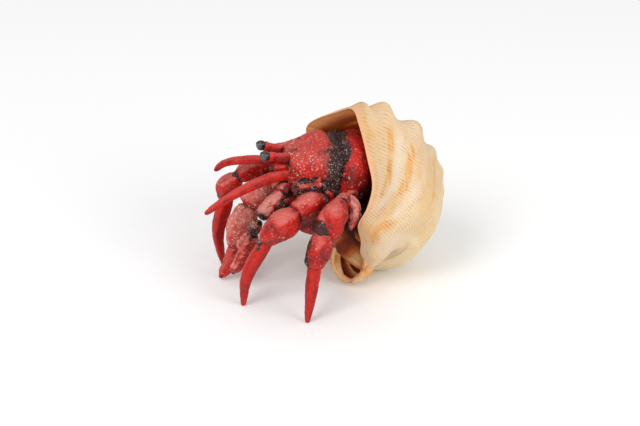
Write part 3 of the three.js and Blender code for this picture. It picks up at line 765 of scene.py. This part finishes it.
def shell_plastic():
    """Matte cream vinyl: clouded beige, thin brown lines in the grooves between the cords, tan and pale
    washes, a peach lip, and an orange inside that turns deep brown further in as painted shade, with painted
    shade near black deep in the opening."""
    def paint(w, where):
        tones = bpy.context.scene.crab_shell
        clouds = w.group(mottling(), Vector=where, Scale=85.0)
        small = w.group(mottling(), Vector=where, Scale=380.0)
        names = ("ring", "turn", "cord", "tan", "pale", "inside", "edge", "shade")
        ring, turn, cord_place, tan, light, inside, edge, shade = (w.layer(name) for name in names)
        base = w.mixed(clouds["Broad"], tones.cream, tones.beige)
        base = w.mixed(w.times(clouds["Fine"], 0.45), base, tones.rose)
        low_side = w.times(w.rise(turn, -0.06, -0.2), w.rise(small["Broad"], -0.8, 1.2), 0.7)
        base = w.mixed(low_side, base, tones.olive)
        pale = w.times(light, w.rise(small["Broad"], -0.6, 0.6), 0.8)
        base = w.mixed(pale, base, tones.pale)
        uneven = w.rise(w.noise(w.place(w.times(turn, 150.0), w.times(ring, 26.0)), 1.0), 0.25, 0.6)
        wash = w.times(w.rise(tan, 0.1, 0.7), uneven)
        base = w.mixed(w.times(wash, 0.8), base, tones.tan)
        cord = w.math("ABSOLUTE", w.math("COSINE", w.times(cord_place, math.pi)))
        dashes = w.place(w.times(turn, 95.0), w.math("ROUND", cord_place))
        lines = w.times(
            w.rise(cord, 0.55, 0.1), w.rise(w.noise(dashes, 1.0, 2.0), 0.42, 0.6),
            w.plus(w.times(wash, 0.5), 0.54), w.rise(small["Broad"], -0.45, 0.7),
            w.rise(clouds["Broad"], -0.6, 0.4, 0.45, 1.15), w.rise(turn, -0.2, -0.05, 0.5, 1.0),
            w.rise(light, 0.2, 1.0, 1.0, 0.35))
        base = w.mixed(lines, base, tones.brown)
        base = w.mixed(w.times(small["Specks"], 0.3), base, tones.tan)
        # The inside: orange, turning deep brown where the inside layer is high, a painted shade further in.
        depths = w.mixed(w.rise(inside, 0.35, 0.8), tones.orange, tones.deep)
        depths = w.mixed(w.times(small["Broad"], 0.35), depths, tones.deep)
        depths = w.mixed(w.times(w.rise(inside, 0.6, 0.3), uneven, 0.7), depths, tones.tan)
        base = w.mixed(w.rise(inside, 0.1, 0.34), base, depths)
        base = w.mixed(w.times(edge, 0.7), base, tones.peach)
        # Painted shade, near black deep in the opening.
        base = w.mixed(w.times(shade, 0.96), base, tones.shadow)
        grain = w.group(moulded_grain(), Vector=where)
        return {"colour": base, "roughness": w.plus(w.times(grain["Share"], 0.15), 0.55),
                "height": grain["Height"], "relief": 0.12, "shine": 0.2}
    return painted_material("shell plastic", paint)


class Paint(NamedTuple):
    """How one kind of crab surface is painted, in shares where nothing else is said."""
    maroon: float  # painted shade in the hollows and on the downward sides
    pink: float  # painted highlight on the upper, raised sides
    cream: float  # on the grains
    wash: float  # cream painted highlight brushed over the upper sides
    black: float  # in the dark places
    rough: float
    pale_from: float  # how far up a surface faces, 0 down and 1 up, where the painted highlights start
    flecks: float  # small cream ones


CRAB_PAINTS = {
    "limb": Paint(0.75, 0.48, 0.35, 0.08, 0.95, 0.38, 0.5, 0.1),
    "dactyl": Paint(0.55, 0.25, 0.0, 0.0, 0.9, 0.38, 0.45, 0.0),
    "feeler": Paint(0.75, 0.25, 0.0, 0.0, 0.5, 0.42, 0.45, 0.0),
    "shield": Paint(0.85, 0.16, 0.8, 0.04, 1.0, 0.4, 0.45, 0.32),
    "plate": Paint(1.0, 0.0, 0.5, 0.0, 1.0, 0.38, 0.45, 0.12),
    "palm": Paint(0.5, 0.4, 0.9, 0.24, 0.6, 0.42, 0.2, 0.6),
    "wrist": Paint(0.6, 0.3, 0.8, 0.2, 0.7, 0.44, 0.2, 0.5),
    "claw_tip": Paint(0.5, 0.15, 0.45, 0.03, 0.6, 0.42, 0.25, 0.3),
    "small_claw": Paint(0.6, 0.6, 0.3, 0.3, 1.0, 0.42, 0.3, 0.2),
    "hip": Paint(1.0, 0.1, 0.5, 0.15, 1.0, 0.4, 0.45, 0.2),
    "under": Paint(1.0, 0.05, 0.1, 0.0, 0.9, 0.5, 0.45, 0.0),
}


def brushed(w, where, height, threshold, cover, streaks):
    """Where paint is dragged over the high spots of that height."""
    return w.group(dry_brush(), Vector=where, Height=height, Threshold=threshold, Cover=cover,
                   Streaks=streaks)["Mask"]


def crab_plastic(kind):
    """Satin red vinyl: maroon painted shade in the hollows and under the limbs, pink and cream painted
    highlights on the upper sides, cream on the grains, and black in the dark places with grey flecks on what
    stands out of it."""
    shares = CRAB_PAINTS[kind]

    def paint(w, where):
        tones = bpy.context.scene.crab_paint
        clouds = w.group(mottling(), Vector=where, Scale=240.0)
        ridge, top, dark, knob = (w.layer(n) for n in ("ridge", "top", "dark", "grain"))
        # Painted shade: maroon where a surface lies low between ridges or faces down.
        shade = w.plus(w.times(ridge, 0.5), w.times(top, 0.6), w.times(clouds["Broad"], 0.35))
        base = w.mixed(w.times(clouds["Fine"], 0.45), tones.red, tones.scarlet)
        base = w.mixed(w.times(w.rise(shade, 1.0, 0.3), shares.maroon), base, tones.maroon)
        # Painted highlight: pink brushed over the raised sides that face up.
        upper = w.rise(top, shares.pale_from, shares.pale_from + 0.5)
        upper = w.times(upper, w.plus(w.times(ridge, 0.6), 0.4))
        base = w.mixed(brushed(w, where, upper, 0.3, shares.pink, 420.0), base, tones.pink)
        base = w.mixed(brushed(w, where, knob, 0.2, shares.cream, 1500.0), base, tones.cream)
        flecks = w.rise(w.noise(where, 1500.0, 2.0), 0.56, 0.68)
        base = w.mixed(w.times(flecks, shares.flecks), base, tones.cream)
        # A cream painted highlight brushed over the same upper sides.
        base = w.mixed(brushed(w, where, upper, 0.4, shares.wash, 500.0), base, tones.cream)
        # Black where the dark layer says: dark joints and spots, with painted shade in the creases.
        black = w.times(w.rise(w.plus(dark, w.times(clouds["Fine"], 0.3)), 0.3, 1.0), shares.black)
        base = w.mixed(black, base, tones.black)
        high = w.plus(knob, w.times(clouds["Specks"], 0.7))
        base = w.mixed(w.times(brushed(w, where, high, 0.2, 0.8, 1300.0), black), base, tones.grey)
        grain = w.group(moulded_grain(), Vector=where)
        return {"colour": base, "roughness": w.plus(w.times(grain["Share"], 0.16), shares.rough),
                "height": grain["Height"], "relief": 0.12, "shine": 0.25}
    return painted_material(f"{kind.replace('_', ' ')} paint", paint)


def joint_black():
    """Black paint in the folds of the joints, reddish in places and rubbed grey on what stands out."""
    def paint(w, where):
        tones = bpy.context.scene.crab_paint
        clouds = w.group(mottling(), Vector=where, Scale=420.0)
        base = w.mixed(w.times(clouds["Broad"], 0.6), tones.black, tones.maroon)
        base = w.mixed(brushed(w, where, w.layer("grain"), 0.5, 0.6, 1400.0), base, tones.grey)
        return {"colour": base, "roughness": w.plus(w.times(clouds["Fine"], 0.2), 0.3),
                "height": w.group(moulded_grain(), Vector=where)["Height"], "relief": 0.15, "shine": 0.4}
    return painted_material("joint black", paint)


def eye_paint():
    """Gloss black caps with a dull grey-green face on the outer side."""
    def paint(w, where):
        tones = bpy.context.scene.crab_paint
        clouds = w.group(mottling(), Vector=where, Scale=700.0)
        face = w.times(w.layer("face"), w.rise(clouds["Fine"], -0.8, 0.6))
        return {"colour": w.mixed(face, tones.black, tones.eye_face),
                "roughness": w.plus(w.times(clouds["Fine"], 0.1), 0.12),
                "height": clouds["Broad"], "relief": 0.03, "shine": 0.5}
    return painted_material("eye gloss", paint)


def floor_paint():
    """Pale matte floor, very faintly clouded."""
    def paint(w, where):
        clouds = w.group(mottling(), Vector=where, Scale=3.0)
        tone = bpy.context.scene.crab_stage.floor_colour
        return {"colour": w.mixed(w.times(clouds["Broad"], 0.03), tone, tuple(0.97 * c for c in tone)),
                "roughness": w.plus(w.times(clouds["Fine"], 0.05), 0.8),
                "height": clouds["Fine"], "relief": 0.01, "shine": 0.2}
    return painted_material("pale floor", paint)


# ---- what a user can change ------------------------------------------------------------------
def linear(code):
    """Linear red, green and blue of a six-figure colour code."""
    shares = [int(code[k:k + 2], 16) / 255 for k in (0, 2, 4)]
    return tuple(s / 12.92 if s <= 0.04045 else ((s + 0.055) / 1.055) ** 2.4 for s in shares)


def tone(name, description, code):
    return bpy.props.FloatVectorProperty(name=name, description=description, default=linear(code), size=3,
                                         subtype="COLOR", min=0, max=1)


def length(name, description, millimetres):
    return bpy.props.FloatProperty(name=name, description=description, default=millimetres * MM,
                                   unit="LENGTH", min=0, precision=5)


class ShellSettings(bpy.types.PropertyGroup):
    """Sizes and paints of the shell."""
    knob_height: length("Knob height", "How far the shoulder knobs stand out at the lip", 3.2)
    rib_height: length("Rib height", "How far the ribs below the knobs stand out", 0.45)
    cord_height: length("Cord height", "Height of the fine cords that run round the whorls", 0.1)
    wall: length("Wall", "Thickness of the shell a little way behind its lip", 1.5)
    cords: bpy.props.IntProperty(name="Cords", description="Fine cords round the section", default=124, min=1)
    cream: tone("Cream", "Light ground of the shell", "dcc39b")
    beige: tone("Beige", "Darker ground of the shell", "d8b078")
    rose: tone("Rose", "Pinkish clouds on the shell", "d6b99e")
    pale: tone("Pale", "Pale washes on the ribs and at the base", "dccab4")
    tan: tone("Tan", "Washes in the valleys between ribs", "d99a4e")
    brown: tone("Brown", "Thin lines between the cords", "8a5024")
    olive: tone("Olive", "Shell away from the lip", "dfd0ac")
    orange: tone("Orange", "Inside of the shell near the lip", "b65a1c")
    # Deep brown is the painted shade further inside the opening.
    deep: tone("Deep brown", "Inside of the shell further in", "7c2e0c")
    peach: tone("Peach", "The lip's edge", "e2a778")
    shadow: tone("Shadow", "Dark end of the opening", "1c0d08")


class CrabSettings(bpy.types.PropertyGroup):
    """Paints of the crab."""
    red: tone("Red", "Ground colour of the crab", "b4140c")
    scarlet: tone("Scarlet", "Lighter red in small clouds", "cb2f22")
    # Maroon is the painted shade in hollows and on undersides.
    maroon: tone("Maroon", "Hollows and shaded sides", "4f0a0c")
    # Pink is a painted highlight on the upper sides.
    pink: tone("Pink", "Dragged over the upper sides", "d27169")
    # Cream is also the cream painted highlight on the upper sides.
    cream: tone("Cream", "Rubbed on the grains", "dcb6a4")
    black: tone("Black", "Joints and grooves", "2a1311")
    grey: tone("Grey", "Rubbed on the black folds", "a08d88")
    eye_face: tone("Eye face", "Outer side of the eyes", "4d5855")


class StageSettings(bpy.types.PropertyGroup):
    """Camera, lights and floor."""
    azimuth: bpy.props.FloatProperty(name="Azimuth", description="Camera's turn round the figure",
                                     default=math.radians(70), subtype="ANGLE")
    elevation: bpy.props.FloatProperty(name="Elevation", description="Camera's height angle",
                                       default=math.radians(30), subtype="ANGLE")
    distance: length("Distance", "From the camera to the point it looks at", 472)
    lens: bpy.props.FloatProperty(name="Lens", description="Focal length in millimetres", default=85, min=1)
    sky: bpy.props.FloatProperty(name="Sky", description="Strength of the even light from all round",
                                 default=0.68)
    floor_colour: tone("Floor", "Colour of the floor", "fcfcfc")


# ---- pieces ----------------------------------------------------------------------------------
class CRAB_OT_body_whorl(bpy.types.Operator):
    """Last whorl of the shell with its flared lip, rim and inside"""
    bl_idname = "crab.body_whorl"
    bl_label = "Body whorl"

    def execute(self, context):
        dense = (0.8 / SIDES, 13.6 / SIDES, 0.86)
        build_shell_length("body_whorl_moulding", -TURN, 0, (172, 496), dense, context.scene.crab_shell,
                           ["shell_body_whorl"], hollow=True)
        return {"FINISHED"}


class CRAB_OT_spire(bpy.types.Operator):
    """Upper whorls of the shell, closed at the apex by a small bead"""
    bl_idname = "crab.spire"
    bl_label = "Spire"

    def execute(self, context):
        dense = (0, 7 / SIDES, 0.75)
        build_shell_length("spire_moulding", -SHELL_TURNS * TURN, -TURN, (300, 240), dense,
                           context.scene.crab_shell, ["shell_spire"], hollow=False)
        polar = np.linspace(0, math.pi, 28)[:, None]
        angle = (TURN * np.arange(56) / 56)[None, :]
        way = np.sin(polar)[..., None] * radial(angle) + np.cos(polar)[..., None] * AXIS
        paints = dict.fromkeys(("cord", "tan", "pale", "ring", "inside", "shade", "edge"), 0)
        paints["turn"] = -SHELL_TURNS
        bead = APEX - AXIS * APEX_DEPTH + way * APEX_HALF
        make_piece("apex_moulding", bead, paints, shell_plastic())
        return {"FINISHED"}


SPOUT_CENTRE = np.array([12.8, 6.2, 9.1])
SPOUT_HALVES = np.array([5.8, 7.4, 8.0])
SPOUT_FACING = unit(np.array([2.2, -3.4, 0.6]))
SPOUT_RIM = 114  # degrees from the back of the cup to its rim
SPOUT_DIP = 44  # degrees that the rim dips under the lip
SPOUT_DENT = 258  # degrees round the rim


class CRAB_OT_spout(bpy.types.Operator):
    """The short cup of the shell's canal, under the opening"""
    bl_idname = "crab.spout"
    bl_label = "Spout"

    def execute(self, context):
        across = unit(np.cross(SPOUT_FACING, [0, 0, 1]))
        upward = np.cross(across, SPOUT_FACING)
        angle = (TURN * np.arange(160) / 160)[None, :]
        from_top = np.abs(np.mod(angle + math.pi, TURN) - math.pi)
        rim = (math.radians(SPOUT_RIM) + 0.1 * np.cos(angle - 0.6) + 0.07 * np.cos(3 * angle + 1)
               + 0.03 * np.cos(7 * angle) - math.radians(SPOUT_DIP) * bell_at(from_top, 0, 46))
        share = np.concatenate([np.linspace(0, 1, 66), np.linspace(1, 0, 66)[1:]])[:, None]
        hollow = np.concatenate([np.zeros(66), np.ones(65)])[:, None]
        polar = share * rim
        out = np.cos(angle)[..., None] * upward + np.sin(angle)[..., None] * across
        way = np.sin(polar)[..., None] * out - np.cos(polar)[..., None] * SPOUT_FACING
        thick = 1.1 + 3.8 * (1 - ease(polar, 0.2, 1.5))
        ledges = np.sin(11 * polar + 1.6 * np.sin(angle) + 0.8)
        ledges = ledges * ease(polar, 0.3, 0.9) * (1 - ease(share, 0.93, 1))
        dent = bell(share, 0.91, 0.06) * bell_at(angle, SPOUT_DENT, 15) * (1 - hollow)
        reach = 1 / np.linalg.norm(way / SPOUT_HALVES, axis=-1)
        reach = reach - hollow * (thick + 0.6 * ledges) - 0.75 * dent
        rows = SPOUT_CENTRE + way * reach[..., None]
        rows = rows + normals_of(rows) * (0.3 * lumps(rows, 2.6, 41) + 0.12 * lumps(rows, 0.9, 42))[..., None]
        paints = {
            "cord": 18 * share,
            "turn": -0.1 + 0.02 * np.cos(angle),
            "tan": 0.5 + 0.3 * np.cos(3 * angle),
            "pale": 0,
            "ring": 0.7,
            # Inside colour, darker further into the cup as painted shade and lighter on the ledges; the
            # shallow dent takes it too, as painted shade.
            "inside": hollow * (1 - ease(share, 0.7, 0.99)) * (0.6 - 0.38 * ledges) + 0.6 * dent,
            "shade": 0,
            "edge": bell(share, 1, 0.09),
        }
        make_piece("spout_moulding", rows, paints, shell_plastic(), ["shell_spout"])
        return {"FINISHED"}


class CRAB_OT_carapace(bpy.types.Operator):
    """Front shield, rear plate and the dark band between them"""
    bl_idname = "crab.carapace"
    bl_label = "Carapace"

    def execute(self, context):
        sculpt("shield", [[0, -12.2, 39.6], [0, -5, 38.4], [0, 3.2, 37.2]], [5.4, 7.4, 10.4], "shield",
               "carapace", 3, flat=1.34, blunt=7, square=2.5, around=340, along=190)
        sculpt("band", [[0.6, 0.6, 37.2], [1.2, 4, 36.9], [2.2, 7.2, 36.6]], [9.2, 10, 9.3], "band",
               "carapace", 12, flat=1.07, around=240, along=90)
        sculpt("plate", [[0.8, 3.8, 36.8], [3, 9, 36.4], [6, 15, 35.6]], [10.8, 11, 8.2], "plate",
               "carapace", 4, flat=1, blunt=5, around=260, along=150)
        return {"FINISHED"}


class CRAB_OT_eyes(bpy.types.Operator):
    """Eyes on their stalks"""
    bl_idname = "crab.eyes"
    bl_label = "Eyes"

    def execute(self, context):
        for name, (x, y, z) in EYES.items():
            rows, along, angle = limb_rows([[x, y + 1.2, z - 0.1], [x, y - 0.3, z], [x, y - 1.6, z - 0.1]],
                                           [1.35, 1.5, 1.2], square=2.6, around=56, along=44)
            rows = rows + normals_of(rows) * (0.12 * lumps(rows, 1.1, 44))[..., None]
            face = ease(along, 0.35, 0.6) * (1 - ease(np.abs(np.degrees(angle) - 75), 45, 75))
            make_piece(f"{name}_moulding", rows, {"face": face}, eye_paint(), [name])
            side = 1 if x > 0 else -1
            path = [[2.8 * side, -11.2, 42.6], [3.2 * side, -14.5, 43.9], [x, y + 0.4, z - 0.1]]
            sculpt(f"eyestalk_{name[-1]}", path, [1.9, 1.45, 1.4], "stalk", "carapace", 5, flat=1)
        return {"FINISHED"}


class CRAB_OT_feelers(bpy.types.Operator):
    """The two long feelers and a small one between the eyes"""
    bl_idname = "crab.feelers"
    bl_label = "Feelers"

    def execute(self, context):
        sculpt("small_feeler", [[3.2, -12, 40], [3.9, -14.8, 40.8], [4.3, -17.4, 41.2]], [1.3, 1.1, 1.0],
               "small_feeler", "feelers", 15, flat=1, around=56, along=60)
        for k, (name, limb) in enumerate(FEELERS.items()):
            sculpt(name, *limb, "feeler", "feelers", 6 + k, flat=1, around=64, along=180)
        return {"FINISHED"}


class CRAB_OT_underside(bpy.types.Operator):
    """Mouthparts and chest, the folded small leg and the hips between the head and the legs"""
    bl_idname = "crab.underside"
    bl_label = "Underside"

    def execute(self, context):
        sculpt("mouthparts", [[2.4, -9, 31], [3.4, -13, 30.8], [3.6, -16.4, 28.6]], [3.6, 3.4, 2.4], "under",
               "underside", 8, flat=1.3, around=120, along=90)
        sculpt("thorax", [[0.6, -11.5, 29.6], [0.8, -4, 25.8], [1.6, 5, 24.6], [2.4, 12, 26]],
               [6.6, 9.6, 9.6, 7.5], "under", "underside", 9, flat=1.02, blunt=3, around=180, along=130)
        sculpt("arch", *ARCH, "arch", "underside", 57, flat=1, around=96, along=120)
        for k, (name, limb) in enumerate(HIPS.items()):
            sculpt(name, *limb, "hip", "underside", 50 + k, flat=1, around=96)
        return {"FINISHED"}


class CRAB_OT_big_claw(bpy.types.Operator):
    """The big claw, held down in front"""
    bl_idname = "crab.big_claw"
    bl_label = "Big claw"

    def execute(self, context):
        for k, (name, limb) in enumerate(BIG_CLAW.items()):
            sculpt(name, *limb, "large_claw", 60 + k, flat=0.92, around=140, along=110)
        return {"FINISHED"}


class CRAB_OT_small_claw(bpy.types.Operator):
    """The small claw"""
    bl_idname = "crab.small_claw"
    bl_label = "Small claw"

    def execute(self, context):
        for k, (name, limb) in enumerate(SMALL_CLAW.items()):
            sculpt(name, *limb, "small_claw", "limbs", 70 + k, around=100, along=90)
        return {"FINISHED"}


class CRAB_OT_walking_legs(bpy.types.Operator):
    """Four walking legs of four lengths each, and the tips of the small fourth legs"""
    bl_idname = "crab.walking_legs"
    bl_label = "Walking legs"

    def execute(self, context):
        for k, leg in enumerate(LEGS):
            for i, kind in enumerate(LENGTHS):
                style, along = ("dactyl", 130) if kind == "dactyl" else ("limb", 100)
                blunt = 2.7 if kind == "propodus" else 4
                sculpt(f"{leg}_{kind}", *leg_length(leg, i), style, "limbs", 80 + 7 * k + i,
                       square=2.5, blunt=blunt, around=104, along=along)
        for k, (name, limb) in enumerate(FOURTH_LEGS.items()):
            sculpt(name, *limb, "fourth_leg", "limbs", 120 + k, around=88, along=90)
        return {"FINISHED"}


class CRAB_OT_knees(bpy.types.Operator):
    """Dark wrinkled folds in the joints of the legs"""
    bl_idname = "crab.knees"
    bl_label = "Knees"

    def execute(self, context):
        for k, (leg, (joints, girths, _)) in enumerate(LEGS.items()):
            for i in (1, 2, 3):
                before, here, after = (np.array(joints[i + d], float) for d in (-1, 0, 1))
                half = KNEE_SHARES[leg][i - 1] * min(0.8 * girths[i - 1], 0.85 * girths[i])
                ends = [here + KNEE_REACH * unit(joint - here) for joint in (before, after)]
                rows, _, _ = limb_rows([ends[0], here, ends[1]], [half, 1.1 * half, half], along=56)
                folds = grains(rows, 1.1, 140 + 3 * k + i)
                relief = 0.3 * folds + 0.3 * half * lumps(rows, 0.8 * half, 150 + i)
                rows = rows + normals_of(rows) * relief[..., None]
                make_piece(f"{leg}_knee_{i}", rows, {"grain": folds}, joint_black())
        return {"FINISHED"}


# ---- stage -----------------------------------------------------------------------------------
FLOOR_HALF = 3  # metres
FLOOR_SQUARES = 12  # along each side
FLOOR_DROP = 0.05  # mm, from the feet to the floor
MIDDLE_HEIGHT = 20  # mm, of the point that the camera and the lights face
LIGHTS = (  # name, place in metres, width, power in watts
    ("key", (0.35, -0.55, 0.75), 0.5, 3.7),
    ("fill", (0.75, 0.45, 0.45), 0.6, 3.2),
)


def aim(thing, target):
    thing.rotation_euler = (Vector(target) - thing.location).to_track_quat("-Z", "Y").to_euler()


class CRAB_OT_stage(bpy.types.Operator):
    """Floor, soft lights and camera"""
    bl_idname = "crab.stage"
    bl_label = "Stage"

    def execute(self, context):
        scene = context.scene
        stage = scene.crab_stage
        side = FLOOR_SQUARES + 1
        x, y = np.meshgrid(*[np.linspace(-FLOOR_HALF, FLOOR_HALF, side)] * 2)
        points = np.stack([x, y, np.full_like(x, -FLOOR_DROP * MM)], axis=-1).reshape(-1, 3)
        corner = (np.arange(side - 1)[:, None] * side + np.arange(side - 1)).ravel()
        faces = np.stack([corner, corner + 1, corner + side + 1, corner + side], axis=-1)
        mesh = bpy.data.meshes.new("floor")
        mesh.from_pydata(points.tolist(), [], faces.tolist())
        mesh.materials.append(floor_paint())
        floor = bpy.data.objects.new("floor", mesh)
        scene.collection.objects.link(floor)

        world = bpy.data.worlds.new("studio")
        scene.world = world
        world.use_nodes = True
        background = world.node_tree.nodes["Background"]
        background.inputs["Color"].default_value = (1, 1, 1, 1)
        background.inputs["Strength"].default_value = stage.sky

        middle = Vector((CENTRE_SHIFT + [0, 0, MIDDLE_HEIGHT]) * MM)
        for name, place, size, power in LIGHTS:
            data = bpy.data.lights.new(name, "AREA")
            data.shape = "DISK"
            data.size = size
            data.energy = power
            lamp = bpy.data.objects.new(name, data)
            lamp.location = place
            scene.collection.objects.link(lamp)
            aim(lamp, middle)

        data = bpy.data.cameras.new("camera")
        data.lens = stage.lens
        data.sensor_width = 36
        data.clip_start = 0.01
        camera = bpy.data.objects.new("camera", data)
        flat = math.cos(stage.elevation)
        back = Vector((math.sin(stage.azimuth) * flat, -math.cos(stage.azimuth) * flat,
                       math.sin(stage.elevation)))
        camera.location = middle + stage.distance * back
        scene.collection.objects.link(camera)
        aim(camera, middle)
        scene.camera = camera
        scene.view_settings.view_transform = "Standard"
        return {"FINISHED"}


# ---- add-on ----------------------------------------------------------------------------------
SETTINGS = {"crab_shell": ShellSettings, "crab_paint": CrabSettings, "crab_stage": StageSettings}
STEPS = (CRAB_OT_body_whorl, CRAB_OT_spire, CRAB_OT_spout, CRAB_OT_carapace, CRAB_OT_eyes, CRAB_OT_feelers,
         CRAB_OT_underside, CRAB_OT_big_claw, CRAB_OT_small_claw, CRAB_OT_walking_legs, CRAB_OT_knees,
         CRAB_OT_stage)


class CRAB_PT_panel(bpy.types.Panel):
    """Buttons for each group of pieces, and the sizes and colours they use"""
    bl_idname = "CRAB_PT_panel"
    bl_label = "Toy hermit crab"
    bl_space_type = "VIEW_3D"
    bl_region_type = "UI"
    bl_category = "Crab"

    def draw(self, context):
        for step in STEPS:
            self.layout.operator(step.bl_idname)
        for setting, group in SETTINGS.items():
            for field in group.__annotations__:
                self.layout.prop(getattr(context.scene, setting), field)


def register():
    for cls in (*SETTINGS.values(), *STEPS, CRAB_PT_panel):
        bpy.utils.register_class(cls)
    for setting, group in SETTINGS.items():
        setattr(bpy.types.Scene, setting, bpy.props.PointerProperty(type=group))


def unregister():
    for setting in SETTINGS:
        delattr(bpy.types.Scene, setting)
    for cls in reversed((*SETTINGS.values(), *STEPS, CRAB_PT_panel)):
        bpy.utils.unregister_class(cls)


def main():
    register()
    for step in STEPS:
        group, name = step.bl_idname.split(".")
        getattr(getattr(bpy.ops, group), name)()


if __name__ == "__main__":
    main()
